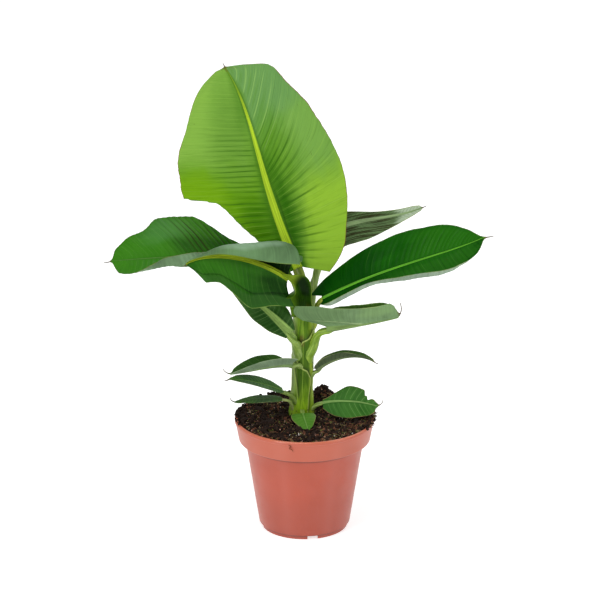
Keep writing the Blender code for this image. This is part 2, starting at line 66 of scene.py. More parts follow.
def area_light(name, at, size, power, colour=(1, 1, 1), target=(0, 0, 0.28), size_y=None):
    data = bpy.data.lights.new(name, "AREA")
    data.energy, data.color = power, colour
    data.size = size
    if size_y:
        data.shape, data.size_y = "RECTANGLE", size_y
    ob = bpy.data.objects.new(name, data)
    bpy.context.scene.collection.objects.link(ob)
    ob.location = at
    aim(ob, target)
    return ob


def make_stage():
    scene = bpy.context.scene
    scene.view_settings.view_transform = "Standard"
    scene.view_settings.look = "None"
    scene.view_settings.exposure = 0.0
    world = bpy.data.worlds.new("studio")
    scene.world = world
    world.use_nodes = True
    bg = world.node_tree.nodes["Background"]
    bg.inputs["Color"].default_value = (0.97, 0.985, 1.0, 1)
    bg.inputs["Strength"].default_value = WORLD
    mesh = bpy.data.meshes.new("floor")
    s = 12.0
    mesh.from_pydata([(-s, -s, 0), (s, -s, 0), (s, s, 0), (-s, s, 0)], [], [(0, 1, 2, 3)])
    floor = bpy.data.objects.new("floor", mesh)
    scene.collection.objects.link(floor)
    mat = bpy.data.materials.new("floor_white")
    mat.use_nodes = True
    b = mat.node_tree.nodes["Principled BSDF"]
    b.inputs["Base Color"].default_value = (0.72, 0.72, 0.72, 1)
    b.inputs["Roughness"].default_value = 0.9
    b.inputs["Specular IOR Level"].default_value = 0.1
    b.inputs["Emission Color"].default_value = (1, 1, 1, 1)
    b.inputs["Emission Strength"].default_value = GLOW
    mesh.materials.append(mat)
    area_light("key", (-1.75, -1.9, 1.5), 0.55, KEY, size_y=2.2)
    area_light("fill", (2.2, -1.4, 1.2), 0.5, FILL, size_y=2.0)
    area_light("back", (0.7, 2.2, 1.8), 1.4, BACK)
    area_light("top", (-0.4, -0.6, 2.6), 1.3, TOP)


WORLD, GLOW, KEY, FILL, BACK, TOP = 0.42, 0.66, 24.0, 14.0, 12.0, 24.0
# ------------------------------------------------------------------ small maths
def vec(*p):
    return np.array(p, dtype=float)


def unit(v):
    return v / np.linalg.norm(v, axis=-1, keepdims=True)


def heading(yaw, pitch):
    y, p = math.radians(yaw), math.radians(pitch)
    return vec(math.cos(p) * math.cos(y), math.cos(p) * math.sin(y), math.sin(p))


def curve(p0, d0, p1, d1, t, pull0=1.0, pull1=1.0):
    """Points at t of the cubic that leaves p0 along d0 and reaches p1 along d1."""
    k = np.linalg.norm(p1 - p0) / 3.0
    a, b = p0 + d0 * k * pull0, p1 - d1 * k * pull1
    t = np.asarray(t, float)[..., None]
    u = 1.0 - t
    return u**3 * p0 + 3 * u * u * t * a + 3 * u * t * t * b + t**3 * p1


def smooth(xs, ys, x):
    """Monotone cubic through the stations (xs, ys), for an array x."""
    xs, ys = np.asarray(xs, float), np.asarray(ys, float)
    h, d = np.diff(xs), np.diff(ys) / np.diff(xs)
    m = np.zeros(len(xs))
    m[0], m[-1] = d[0], d[-1]
    for i in range(1, len(xs) - 1):
        if d[i - 1] * d[i] > 0:
            w1, w2 = 2 * h[i] + h[i - 1], h[i] + 2 * h[i - 1]
            m[i] = (w1 + w2) / (w1 / d[i - 1] + w2 / d[i])
    x = np.clip(np.asarray(x, float), xs[0], xs[-1])
    i = np.minimum(np.searchsorted(xs, x, side="right") - 1, len(xs) - 2)
    t = (x - xs[i]) / h[i]
    return (
        (1 + 2 * t) * (1 - t) ** 2 * ys[i]
        + t * (1 - t) ** 2 * h[i] * m[i]
        + t * t * (3 - 2 * t) * ys[i + 1]
        + t * t * (t - 1) * h[i] * m[i + 1]
    )


def along(values, s):
    return smooth(np.linspace(0, 1, len(values)), values, s)


def step(a, b, x):
    t = np.clip((np.asarray(x, float) - a) / (b - a), 0, 1)
    return t * t * (3 - 2 * t)


def hashed(i, j, seed):
    """Repeatable value in -1..1 for whole numbers i and j."""
    n = (i.astype(np.int64) * 374761393 + j.astype(np.int64) * 668265263 + seed * 2147483647) & 0xFFFFFFFF
    n = ((n ^ (n >> 13)) * 1274126177) & 0xFFFFFFFF
    n = n ^ (n >> 16)
    return (n & 0xFFFF) / 32767.5 - 1.0


def rough(x, y, seed=0, octaves=3, fall=0.5):
    """Smooth value noise in about -1..1."""
    x, y = np.broadcast_arrays(np.asarray(x, float), np.asarray(y, float))
    total, gain, weight = 0.0, 1.0, 0.0
    for k in range(octaves):
        xi, yi = np.floor(x), np.floor(y)
        fx, fy = x - xi, y - yi
        ux, uy = fx * fx * (3 - 2 * fx), fy * fy * (3 - 2 * fy)
        a, b = hashed(xi, yi, seed + k), hashed(xi + 1, yi, seed + k)
        c, d = hashed(xi, yi + 1, seed + k), hashed(xi + 1, yi + 1, seed + k)
        total = total + gain * ((a * (1 - ux) + b * ux) * (1 - uy) + (c * (1 - ux) + d * ux) * uy)
        weight += gain
        gain *= fall
        x, y = x * 2.03 + 17.1, y * 2.03 + 5.7
    return total / weight


SETTLE = (0.977, 0.064, -1.5)


def settle(p):
    """Points of the plant after it settles: heights shorten a little and what stands further back rises."""
    q = np.array(p, float)
    q[..., 2] = SETTLE[0] * q[..., 2] + SETTLE[1] * q[..., 1] + SETTLE[2]
    return q


# ------------------------------------------------------------------ meshes
def build(name, verts, quads, material, replaced=(), attributes=None, uv=None, tris=None, smooth_shade=True):
    """A mesh piece from arrays in millimetres that rides on the plant's one body."""
    mesh = bpy.data.meshes.new(name)
    verts = np.asarray(verts, float).reshape(-1, 3) * MM
    loops, starts, totals = [], [], []
    at = 0
    for block in (quads, tris):
        if block is None or len(block) == 0:
            continue
        block = np.asarray(block, np.int64)
        k = block.shape[1]
        loops.append(block.ravel())
        starts.append(at + np.arange(len(block)) * k)
        totals.append(np.full(len(block), k))
        at += block.size
    loops, starts, totals = np.concatenate(loops), np.concatenate(starts), np.concatenate(totals)
    mesh.vertices.add(len(verts))
    mesh.vertices.foreach_set("co", verts.astype(np.float32).ravel())
    mesh.loops.add(len(loops))
    mesh.loops.foreach_set("vertex_index", loops.astype(np.int32))
    mesh.polygons.add(len(starts))
    mesh.polygons.foreach_set("loop_start", starts.astype(np.int32))
    mesh.polygons.foreach_set("loop_total", totals.astype(np.int32))
    if uv is not None:
        layer = mesh.uv_layers.new(name="OFBake")
        layer.uv.foreach_set("vector", np.asarray(uv, np.float32).ravel())
    mesh.update(calc_edges=True)
    mesh.validate()
    mesh.polygons.foreach_set("use_smooth", np.full(len(mesh.polygons), smooth_shade))
    for key, values in (attributes or {}).items():
        a = mesh.attributes.new(key, "FLOAT", "POINT")
        a.data.foreach_set("value", np.asarray(values, np.float32).ravel())
    mesh.materials.append(material)
    ob = bpy.data.objects.new(name, mesh)
    bpy.context.scene.collection.objects.link(ob)
    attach(ob, "root")
    if replaced:
        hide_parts(*replaced)
    return ob


def grid_quads(rows, cols, base=0, wrap=False, flip=False):
    """Quads of a grid of rows x cols vertices, closed round the columns if wrap."""
    i = np.arange(rows - 1)[:, None]
    j = np.arange(cols if wrap else cols - 1)[None, :]
    k = (j + 1) % cols
    q = np.stack([i * cols + j, i * cols + k, (i + 1) * cols + k, (i + 1) * cols + j], -1).reshape(-1, 4) + base
    return q[:, ::-1] if flip else q


def tube_mesh(rings, close_start=True, close_end=True):
    """Verts, quads and cap triangles of a tube through rings (R, K, 3), with its caps rounded to their centres."""
    rings = np.asarray(rings)
    r, k = rings.shape[:2]
    verts = rings.reshape(-1, 3)
    quads = grid_quads(r, k, wrap=True)
    tris = []
    for end, ring, order in ((close_start, 0, 1), (close_end, r - 1, 0)):
        if not end:
            continue
        c = len(verts)
        verts = np.vstack([verts, rings[ring].mean(0)[None]])
        j = np.arange(k)
        a, b = ring * k + j, ring * k + (j + 1) % k
        t = np.stack([b, a, np.full(k, c)], -1) if order else np.stack([a, b, np.full(k, c)], -1)
        tris.append(t)
    return verts, quads, np.vstack(tris) if tris else None


def carried_frames(path, up0):
    """Tangents and a side/up pair carried along a path (N, 3), starting from up0."""
    t = np.gradient(path, axis=0)
    t = unit(t)
    ups = []
    up = up0 - t[0] * np.dot(up0, t[0])
    up = up / np.linalg.norm(up)
    for i in range(len(path)):
        up = up - t[i] * np.dot(up, t[i])
        up = up / np.linalg.norm(up)
        ups.append(up)
    ups = np.array(ups)
    return t, ups, np.cross(t, ups)


# ------------------------------------------------------------------ shader helpers
def lin(r, g, b):
    """Linear colour of an sRGB one given in 0..255."""
    out = []
    for c in (r, g, b):
        c /= 255.0
        out.append(c / 12.92 if c <= 0.04045 else ((c + 0.055) / 1.055) ** 2.4)
    return tuple(out)


class Look:
    """A small helper round one node material."""

    def __init__(self, name, roughness=0.5, specular=0.5):
        self.mat = bpy.data.materials.new(name)
        self.mat.use_nodes = True
        self.tree = self.mat.node_tree
        self.bsdf = self.tree.nodes["Principled BSDF"]
        self.bsdf.inputs["Roughness"].default_value = roughness
        self.bsdf.inputs["Specular IOR Level"].default_value = specular

    def node(self, kind, **props):
        n = self.tree.nodes.new(kind)
        for k, v in props.items():
            setattr(n, k, v)
        return n

    def wire(self, value, socket):
        if isinstance(value, bpy.types.NodeSocket):
            self.tree.links.new(value, socket)
        elif isinstance(value, tuple) and len(value) == 3 and socket.type == "RGBA":
            socket.default_value = (*value, 1.0)
        else:
            socket.default_value = value

    def attr(self, name):
        return self.node("ShaderNodeAttribute", attribute_name=name).outputs["Fac"]

    def math(self, op, a, b=0.0, c=0.0, clamp=False):
        n = self.node("ShaderNodeMath", operation=op, use_clamp=clamp)
        for i, v in enumerate((a, b, c)):
            self.wire(v, n.inputs[i])
        return n.outputs[0]

    def range(self, value, a, b, c=0.0, d=1.0, smooth=True):
        n = self.node("ShaderNodeMapRange", interpolation_type="SMOOTHSTEP" if smooth else "LINEAR", clamp=True)
        for key, v in (("Value", value), ("From Min", a), ("From Max", b), ("To Min", c), ("To Max", d)):
            self.wire(v, n.inputs[key])
        return n.outputs[0]

    def mix(self, fac, a, b, blend="MIX"):
        n = self.node("ShaderNodeMix", data_type="RGBA", blend_type=blend, clamp_factor=True)
        self.wire(fac, n.inputs[0])
        self.wire(a, n.inputs[6])
        self.wire(b, n.inputs[7])
        return n.outputs[2]

    def place(self, x, y=0.0, z=0.0):
        n = self.node("ShaderNodeCombineXYZ")
        for i, v in enumerate((x, y, z)):
            self.wire(v, n.inputs[i])
        return n.outputs[0]

    def position(self):
        return self.node("ShaderNodeTexCoord").outputs["Object"]

    def noise(self, at, scale, detail=3.0, rough=0.5, distortion=0.0):
        n = self.node("ShaderNodeTexNoise")
        n.inputs["Scale"].default_value = scale
        n.inputs["Detail"].default_value = detail
        n.inputs["Roughness"].default_value = rough
        n.inputs["Distortion"].default_value = distortion
        self.wire(at, n.inputs["Vector"])
        return n.outputs["Fac"]

    def bump(self, height, strength=0.3, distance=0.0003, after=None):
        n = self.node("ShaderNodeBump")
        n.inputs["Strength"].default_value = strength
        n.inputs["Distance"].default_value = distance
        self.wire(height, n.inputs["Height"])
        if after is not None:
            self.wire(after, n.inputs["Normal"])
        return n.outputs["Normal"]

    def finish(self, colour=None, roughness=None, normal=None):
        if colour is not None:
            self.wire(colour, self.bsdf.inputs["Base Color"])
        if roughness is not None:
            self.wire(roughness, self.bsdf.inputs["Roughness"])
        if normal is not None:
            self.wire(normal, self.bsdf.inputs["Normal"])
        return self.mat
# ------------------------------------------------------------------ leaves
WIDTH_AT = (0.0, 0.1, 0.25, 0.45, 0.65, 0.82, 0.94, 1.0)
STRAIGHT = 4.0
ARC_STEPS = 64


def midrib(leaf, s):
    b, t = vec(*leaf["base"]), vec(*leaf["tip"])
    return curve(b, heading(*leaf["leaves"]), t, heading(*leaf["ends"]), s, *leaf.get("pull", (1.0, 1.0)))


def frames(leaf, s):
    e = 1e-3
    t = unit(midrib(leaf, np.minimum(s + e, 1.0)) - midrib(leaf, np.maximum(s - e, 0.0)))
    faces = [heading(*f) for f in leaf["faces"]]
    n = np.stack([along([f[i] for f in faces], s) for i in range(3)], -1)
    n = unit(n - t * (n * t).sum(-1, keepdims=True))
    return t, n, np.cross(t, n)


def half_surface(leaf, s, v, side, trim=1.0):
    """Points (rows, columns, 3) of one half, v running from the midrib to the margin, and its half widths."""
    half = leaf[side]
    t, n, r = frames(leaf, s)
    out = r if side == "right" else -r
    w = smooth(WIDTH_AT, half["width"], s) * trim
    a = np.radians(along(half["lift"], s))
    c = np.radians(along(half["curl"], s))
    sweep = np.tan(np.radians(along(half["sweep"], s)))
    lobe = half.get("lobe", 0.0) * (1.0 - s) ** 4
    m = midrib(leaf, s)
    u = np.linspace(0, 1, ARC_STEPS + 1)
    turn = a[:, None] + c[:, None] * u[None, :]
    if "fold" in half:
        at = smooth(half["fold"][0], half["fold"][1], s)
        x = np.clip((u[None, :] - at[:, None]) / 0.12 + 0.5, 0, 1)
        x = np.where((s < half["fold"][0][-1])[:, None], x, 0.0)
        turn = turn + math.radians(half["fold"][2]) * x * x * (3 - 2 * x)
    if "hem" in half:
        at = along(half["hem"][0], s)
        x = np.clip((u[None, :] - at[:, None]) / half["hem"][2] + 0.5, 0, 1)
        turn = turn + np.radians(along(half["hem"][1], s))[:, None] * x * x * (3 - 2 * x)
    mid = (turn[:, 1:] + turn[:, :-1]) / 2
    zero = np.zeros((len(s), 1))
    p = np.concatenate([zero, np.cumsum(np.cos(mid), 1) / ARC_STEPS], 1)
    q = np.concatenate([zero, np.cumsum(np.sin(mid), 1) / ARC_STEPS], 1)
    x = v * ARC_STEPS
    i = np.minimum(x.astype(int), ARC_STEPS - 1)
    f = x - i
    pv = p[:, i] * (1 - f) + p[:, i + 1] * f
    qv = q[:, i] * (1 - f) + q[:, i + 1] * f
    reach = v[None, :] * w[:, None]
    back = np.maximum(reach - STRAIGHT, 0.0) * (1 + lobe[:, None] * (1 - v[None, :])) * sweep[:, None]
    points = (
        m[:, None]
        + w[:, None, None] * (pv[..., None] * out[:, None] + qv[..., None] * n[:, None])
        + back[..., None] * t[:, None]
    )
    return points, w


def normals_of(grid):
    """Unit normals of a grid surface (rows, columns, 3)."""
    a = np.gradient(grid, axis=0)
    b = np.gradient(grid, axis=1)
    n = np.cross(b, a)
    length = np.linalg.norm(n, axis=-1, keepdims=True)
    return n / np.maximum(length, 1e-9)


def tail_grid(leaf, offsets, rows, hook):
    """Rows of the dry tail beyond the tip: centre line and half widths."""
    t, n, r = (x[0] for x in frames(leaf, np.array([1.0])))
    reach = vec(*leaf.get("tail", tuple(t * 5.0)))
    length = np.linalg.norm(reach)
    x = (np.arange(rows) + 1.0) / rows
    centre = vec(*leaf["tip"]) + reach * x[:, None] + t * (0.5 * length * x * (1 - x))[:, None]
    centre = centre + (n * hook * length * 0.25) * (np.maximum(x - 0.6, 0) ** 2 * 6)[:, None]
    return centre, x, n, r


def make_blade(name, leaf, look):
    rows, cols = leaf.get("grid", (150, 44))
    seed = leaf.get("seed", 1)
    v = (np.arange(cols + 1) / cols) ** leaf.get("crowd", 1.25)
    s = np.arange(rows + 1) / rows
    # the last steps are shorter so that the tip rounds
    s = s + 0.06 * np.sin(math.pi * s) * s
    s = s / s[-1]
    length = leaf.get("length") or float(np.linalg.norm(np.diff(midrib(leaf, np.linspace(0, 1, 60)), axis=0), axis=1).sum())
    ragged = leaf.get("ragged", 0.006)
    halves = {}
    for k, side in enumerate(("left", "right")):
        nick = 1.0 + ragged * rough(s * length / 9.0, 3.0 * k, seed, 3) + 0.5 * ragged * rough(s * length / 2.5, 8.0 + k, seed, 2)
        for at, wide, deep, which in leaf.get("nicks", ()):
            if which == side:
                nick = nick - deep * np.exp(-(((s - at) * length) / wide) ** 2)
        halves[side] = half_surface(leaf, s, v, side, nick)
    left, wl = halves["left"]
    right, wr = halves["right"]
    grid = np.concatenate([left[:, ::-1], right[:, 1:]], 1)
    off = np.concatenate([-(v[::-1][None, :] * wl[:, None]), v[1:][None, :] * wr[:, None]], 1)
    edge = np.concatenate([(1 - v[::-1])[None, :] * wl[:, None], (1 - v[1:])[None, :] * wr[:, None]], 1)
    sta = np.repeat(s[:, None], grid.shape[1], 1)
    # veins leave the midrib and lean towards the tip
    vl = along(leaf.get("veer_left", (0.03, 0.05, 0.06, 0.05, 0.03)), s)
    vr = along(leaf.get("veer_right", (0.03, 0.05, 0.06, 0.05, 0.03)), s)
    bow = leaf.get("bow", 1.4)
    lean = np.concatenate([vl[:, None] * (v[::-1] ** bow)[None, :], vr[:, None] * (v[1:] ** bow)[None, :]], 1)
    vein = (sta - lean) * length

    tail_rows = 14
    centre, x, tn, tr = tail_grid(leaf, off, tail_rows, leaf.get("hook", 0.6))
    w0l, w0r = wl[-1], wr[-1]
    shrink = np.maximum(1 - x / 0.3, 0) ** 1.6
    thin = leaf.get("tail_half", 0.75) * (1 - 0.72 * x)
    tail = np.empty((tail_rows, grid.shape[1], 3))
    last = grid[-1] - vec(*leaf["tip"])
    for i in range(tail_rows):
        share = np.concatenate([-v[::-1], v[1:]])
        narrow = tr[None, :] * (share * thin[i])[:, None]
        tail[i] = centre[i] + last * shrink[i] * 0.9 + narrow * (1 - shrink[i])
    grid = np.concatenate([grid, tail], 0)
    off = np.concatenate([off, np.repeat(off[-1:], tail_rows, 0) * (shrink + 0.02)[:, None]], 0)
    edge = np.concatenate([edge, np.repeat(edge[-1:], tail_rows, 0) * (shrink + 0.02)[:, None]], 0)
    sta = np.concatenate([sta, 1.0 + np.repeat(x[:, None], grid.shape[1], 1)], 0)
    vein = np.concatenate([vein, np.repeat(vein[-1:], tail_rows, 0) + 3 * x[:, None]], 0)

    grid = settle(grid)
    n = normals_of(grid)
    s_all = np.minimum(sta, 1.0)
    share = np.abs(off) / np.maximum(np.abs(off) + edge, 1e-6)
    live = np.clip(1.0 - (sta - 1.0) * 6, 0, 1)
    width = np.maximum(np.abs(off) + edge, 1e-6)
    room = np.clip(width / 30.0, 0.1, 1.0)
    mark = np.zeros(off.shape)
    for (at, strength, wide, which, s0, s1) in leaf.get("marks", ()):
        here = ((off < 0) if which == "left" else (off > 0)) * step(s0 - 0.03, s0 + 0.03, s_all) * (1 - step(s1 - 0.03, s1 + 0.03, s_all))
        d = (share - along(at, s_all)) * width
        mark = mark + strength * np.exp(-((d / wide) ** 2)) * here

    side_sign = np.where(off < 0, 0.0, 1.0)
    # ripples between the veins, deepest in the middle of each half
    pitch, deep = leaf.get("ripple", (6.5, 0.35))
    vein = vein + 1.3 * rough(vein / 14.0, off / 38.0 + 9 * side_sign, seed + 5, 2) + 0.33 * pitch * side_sign
    wave = np.sin(2 * math.pi * vein / pitch)
    patch = 0.55 + 0.45 * rough(vein / 30.0, off / 26.0 + 5 * side_sign, seed + 9, 2)
    zone = leaf.get("pleats", (0.0, 1.0, 0.9))
    body = step(0.03, 0.22, share) * (1 - step(zone[2] * 0.6, zone[2] * 1.25, share))
    body = body * step(zone[0] - 0.08, zone[0] + 0.08, s_all) * (1 - step(zone[1] - 0.12, zone[1] + 0.12, s_all))
    height = deep * room * (0.25 * wave + wave * patch * body) * live * step(0.0, 0.1, share)
    for (at, deepness, wide, which) in leaf.get("creases", ()):
        where = along(at, s_all)
        here = (off < 0) if which == "left" else (off > 0)
        d = (share - where) * width
        height = height - deepness * np.exp(-((d / wide) ** 2)) * here * live
    # broader buckles and a wavy margin
    buckle = leaf.get("buckle", 1.2)
    height = height + buckle * room * rough(vein / 24.0, off / 30.0 + 4 * side_sign, seed + 20, 2) * step(0.05, 0.6, share) * live
    ruffle, ruffle_pitch = leaf.get("ruffle", (1.4, 26.0))
    height = height + ruffle * room * rough(vein / ruffle_pitch, 4.0 * side_sign, seed + 33, 2) * share**3 * live
    # midrib: a channel above, a keel below
    rib = along(leaf.get("rib_at", (leaf["thick"][1], 2.2, 1.5, 1.0, 0.5)), s_all)
    rib = rib * np.clip(1.4 - (sta - 1.0) * 1.2, 0.3, 1.0)
    close = np.exp(-((off / (rib * 1.15)) ** 2))
    lips = np.exp(-(((np.abs(off) - rib * 1.05) / (rib * 0.45)) ** 2))
    top = height - leaf.get("channel", 0.3) * rib * close + 0.28 * rib * lips
    lamina = 0.34 + 0.25 * np.exp(-share * 3.0)
    keel = leaf.get("keel", 1.35) * rib * np.exp(-((off / (rib * 1.2)) ** 2))
    upper = grid + n * top[..., None]
    lower = grid + n * (height - lamina - keel)[..., None]

    r, c = grid.shape[:2]
    count = r * c
    verts = np.concatenate([upper.reshape(-1, 3), lower.reshape(-1, 3)])
    top_q = grid_quads(r, c)
    low_q = grid_quads(r, c, base=count, flip=True)
    i = np.arange(r - 1)
    a, b = i * c, (i + 1) * c
    left_q = np.stack([a, b, b + count, a + count], -1)
    a, b = i * c + c - 1, (i + 1) * c + c - 1
    right_q = np.stack([a, a + count, b + count, b], -1)
    j = np.arange(c - 1)
    first_q = np.stack([j, j + count, j + 1 + count, j + 1], -1)
    a = (r - 1) * c
    last_q = np.stack([a + j, a + j + 1, a + j + 1 + count, a + j + count], -1)
    quads = np.concatenate([top_q, low_q, left_q, right_q, first_q, last_q])
    # the outward side of the first face decides the winding of all
    k = top_q[(r // 3) * (c - 1) + c // 2]
    f = verts[k]
    if np.dot(np.cross(f[1] - f[0], f[2] - f[0]), n[r // 3, c // 2]) < 0:
        quads = quads[:, ::-1]

    # flat map: the upper side on the left, the underside on the right
    gv = 0.01 + 0.98 * (np.arange(r) / (r - 1))
    gu = np.arange(c) / (c - 1)
    uvs = np.empty((2 * count, 2))
    uvs[:count, 0] = np.tile(0.012 + 0.472 * gu, r)
    uvs[:count, 1] = np.repeat(gv, c)
    uvs[count:, 0] = np.tile(0.988 - 0.472 * gu, r)
    uvs[count:, 1] = np.repeat(gv, c)
    loop_uv = uvs[quads]
    # side walls get thin strips of their own between and beyond the two halves
    walls = len(top_q) + len(low_q)
    for q0, q1, u0 in ((walls, walls + len(left_q), 0.0), (walls + len(left_q), walls + 2 * len(left_q), 0.49)):
        under = quads[q0:q1] >= count
        loop_uv[q0:q1, :, 0] = u0 + np.where(under, 0.009, 0.001) + (0.004 if u0 else 0.0)
    faces = np.concatenate([np.ones(count), np.zeros(count)])
    attributes = {
        "vein": np.tile(vein.ravel(), 2),
        "off": np.tile(off.ravel(), 2),
        "edge": np.tile(edge.ravel(), 2),
        "sta": np.tile(sta.ravel(), 2),
        "rib": np.tile(rib.ravel(), 2),
        "upper": faces,
        "mark": np.tile(mark.ravel(), 2),
    }
    replaced = ["leaf_" + name]
    return build("blade_" + name, verts, quads, look, replaced, attributes, loop_uv.reshape(-1, 2))


# ------------------------------------------------------------------ stalks
def make_stalk(name, leaf, look):
    """Channelled stalk that widens where it clasps the stem and runs on under the blade as the keel."""
    count, sides = 64, 28
    base, lean = vec(*leaf["base"]), heading(*leaf["leaves"])
    joint, rises = vec(*leaf["joint"]), heading(*leaf["rises"])
    t0, n0, _ = (x[0] for x in frames(leaf, np.array([0.0])))
    r0, r1 = leaf.get("stout", leaf["thick"])
    foot = leaf.get("foot", (1.5, 1.1))
    main = curve(joint, rises, base, lean, np.linspace(0, 1, count), *leaf.get("stalk_pull", (1.0, 1.0)))
    on = midrib(leaf, np.linspace(0.0, 1.0, 400))
    steps = np.concatenate([[0], np.cumsum(np.linalg.norm(np.diff(on, axis=0), axis=1))])
    beyond = np.stack([np.interp(np.arange(1, 9) * 1.2, steps, on[:, i]) for i in range(3)], -1)
    # the foot comes out of the stem along it before the stalk bends away
    reach = leaf.get("root", 15.0)
    inner = vec(-1.8, 6.0, joint[2]) - joint
    inner = inner / max(np.linalg.norm(inner), 1e-6)
    start = vec(*leaf["root_at"]) if "root_at" in leaf else joint + inner * min(5.0, 0.4 * reach) - vec(0, 0, reach)
    root = curve(start, vec(0, 0, 1), joint, rises, np.linspace(0, 1, 17))[:-1]
    path = np.concatenate([root, main, beyond])
    run = np.concatenate([[0], np.cumsum(np.linalg.norm(np.diff(path, axis=0), axis=1))])
    run = run - run[len(root)]
    whole = run[len(root) + count - 1]
    x = run / whole
    # the upper side of the stalk faces the stem at its foot and follows the blade at its top
    up0 = leaf.get("stalk_up")
    axis = vec(-1.8, 6.0, joint[2])
    inward = axis - joint
    inward[2] = 0.0
    inward = inward / max(np.linalg.norm(inward), 1e-6) + vec(0, 0, 0.4)
    up0 = heading(*up0) if up0 else inward
    t, ups, sides_v = carried_frames(path, up0)
    up_end = n0
    blend = step(0.25, 0.95, x)[:, None]
    up = ups * (1 - blend) + up_end * blend
    up = unit(up - t * (up * t).sum(-1, keepdims=True))
    across = np.cross(t, up)
    radius = r1 + (r0 - r1) * np.clip(1 - x, 0, 1) ** 1.3
    flat = leaf.get("flat", 1.0)
    wide = radius * (1 + (foot[0] - 1) * np.clip(1 - x / 0.55, 0, 1) ** 1.6)
    high = flat * radius * (1 + (foot[1] - 1) * np.clip(1 - x / 0.55, 0, 1) ** 1.6)
    fade = 1 - step(1.0, x[-1], x)
    wide, high = (v * (0.2 + 0.8 * step(x[0] * 1.1, 0.0, x)) for v in (wide, high))
    wide, high = wide * (0.35 + 0.65 * fade), high * (0.25 + 0.75 * fade)
    sink = radius * 0.85 * step(0.55, 1.0, x)
    phi = 2 * math.pi * np.arange(sides) / sides
    groove = leaf.get("groove", 0.5) * step(0.05, 0.5, x)[:, None] * np.exp(-((np.mod(phi + math.pi, 2 * math.pi) - math.pi) / 0.55) ** 2)[None, :]
    ridges = 1 + 0.02 * np.sin(9 * phi)[None, :] + 0.02 * rough(phi[None, :] * 3, x[:, None] * 9, 3)
    rr = (1 - groove) * ridges
    ring = (
        path[:, None]
        - (up * sink[:, None])[:, None]
        + across[:, None] * (np.sin(phi)[None, :] * wide[:, None] * ridges)[..., None]
        + up[:, None] * (np.cos(phi)[None, :] * high[:, None] * rr)[..., None]
    )
    verts, quads, tris = tube_mesh(settle(ring[:, ::-1]))
    along_v = np.concatenate([np.repeat(x, sides), [0, 1]])
    round_v = np.concatenate([np.tile(np.cos(phi)[::-1], len(path)), [0, 0]])
    turn_v = np.concatenate([np.tile(phi[::-1], len(path)), [0, 0]])
    return build(
        "petiole_" + name, verts, quads, look, ["stalk_" + name],
        {"sta": along_v, "top": round_v, "turn": turn_v}, tris=tris,
    )


def make_trough(name, leaf, look):
    """Open sheathing stalk: a thick-walled channel that narrows from the stem to the midrib."""
    count, steps = 90, 44
    trough = leaf["trough"]
    base, lean = vec(*leaf["base"]), heading(*leaf["leaves"])
    joint, rises = vec(*leaf["joint"]), heading(*leaf["rises"])
    x = np.linspace(0, 1, count)
    path = curve(joint, rises, base, lean, x, *leaf.get("stalk_pull", (1.0, 1.0)))
    on = midrib(leaf, np.linspace(0.0, 1.0, 400))
    arc = np.concatenate([[0], np.cumsum(np.linalg.norm(np.diff(on, axis=0), axis=1))])
    beyond = np.stack([np.interp(np.arange(1, 9) * 1.3, arc, on[:, i]) for i in range(3)], -1)
    path = np.concatenate([path, beyond])
    x = np.concatenate([x, 1 + np.arange(1, 9) * 0.02])
    t = unit(np.gradient(path, axis=0))
    first, last = [heading(*o) for o in trough["opens"]]
    k = np.clip(x, 0, 1)[:, None]
    up = first * (1 - k) + last * k
    up = unit(up - t * (up * t).sum(-1, keepdims=True))
    across = np.cross(t, up)
    xc = np.clip(x, 0, 1)
    wide = smooth((0, 0.35, 0.7, 1), trough["radius"], xc)
    spread = np.radians(smooth((0, 0.35, 0.7, 1), trough["spread"], xc))
    thick = 1.9 + 0.8 * step(0.6, 1.0, xc)
    fade = 1 - 0.75 * step(1.0, 1.16, x)
    wide, thick = wide * fade, thick * fade
    sink = 1.4 * step(0.7, 1.0, xc)
    a = np.linspace(-0.5, 0.5, steps)
    ang = spread[:, None] * a[None, :]
    # the side on the inner bend spreads wider, like a web between the stem and the midrib
    web = np.exp(-(((xc - 0.56) / 0.27) ** 2))[:, None] * np.clip(-2 * a, 0, 1)[None, :] ** 0.7
    outer = path[:, None] - (up * sink[:, None])[:, None] + wide[:, None, None] * (
        (np.sin(ang) * (1 + 0.42 * web))[..., None] * across[:, None] + ((1 - np.cos(ang)) * (1 - 0.45 * web))[..., None] * up[:, None]
    )
    # thick along its back, thin at its two lips
    wall = thick[:, None] * (0.28 + 0.72 * (1 - (2 * np.abs(a[None, :])) ** 2.2))
    wall = wall * (1 + 0.06 * rough(x[:, None] * 14, a[None, :] * 9, 4))
    toward = np.cos(ang)[..., None] * up[:, None] - np.sin(ang)[..., None] * across[:, None]
    inner = outer + toward * wall[..., None]
    ring = np.concatenate([outer, inner[:, ::-1]], 1)
    verts, quads, tris = tube_mesh(settle(ring))
    u = np.concatenate([a, a[::-1]])
    inside = np.concatenate([np.zeros(steps), np.ones(steps)])
    n = len(path)
    return build(
        "petiole_" + name, verts, quads, look, ["stalk_" + name],
        {
            "sta": np.concatenate([np.repeat(x, 2 * steps), [0, 1]]),
            "lip": np.concatenate([np.tile(np.abs(u) * 2, n), [0, 0]]),
            "across": np.concatenate([np.tile(u, n), [0, 0]]),
            "inside": np.concatenate([np.tile(inside, n), [0, 0]]),
        },
        tris=tris,
    )


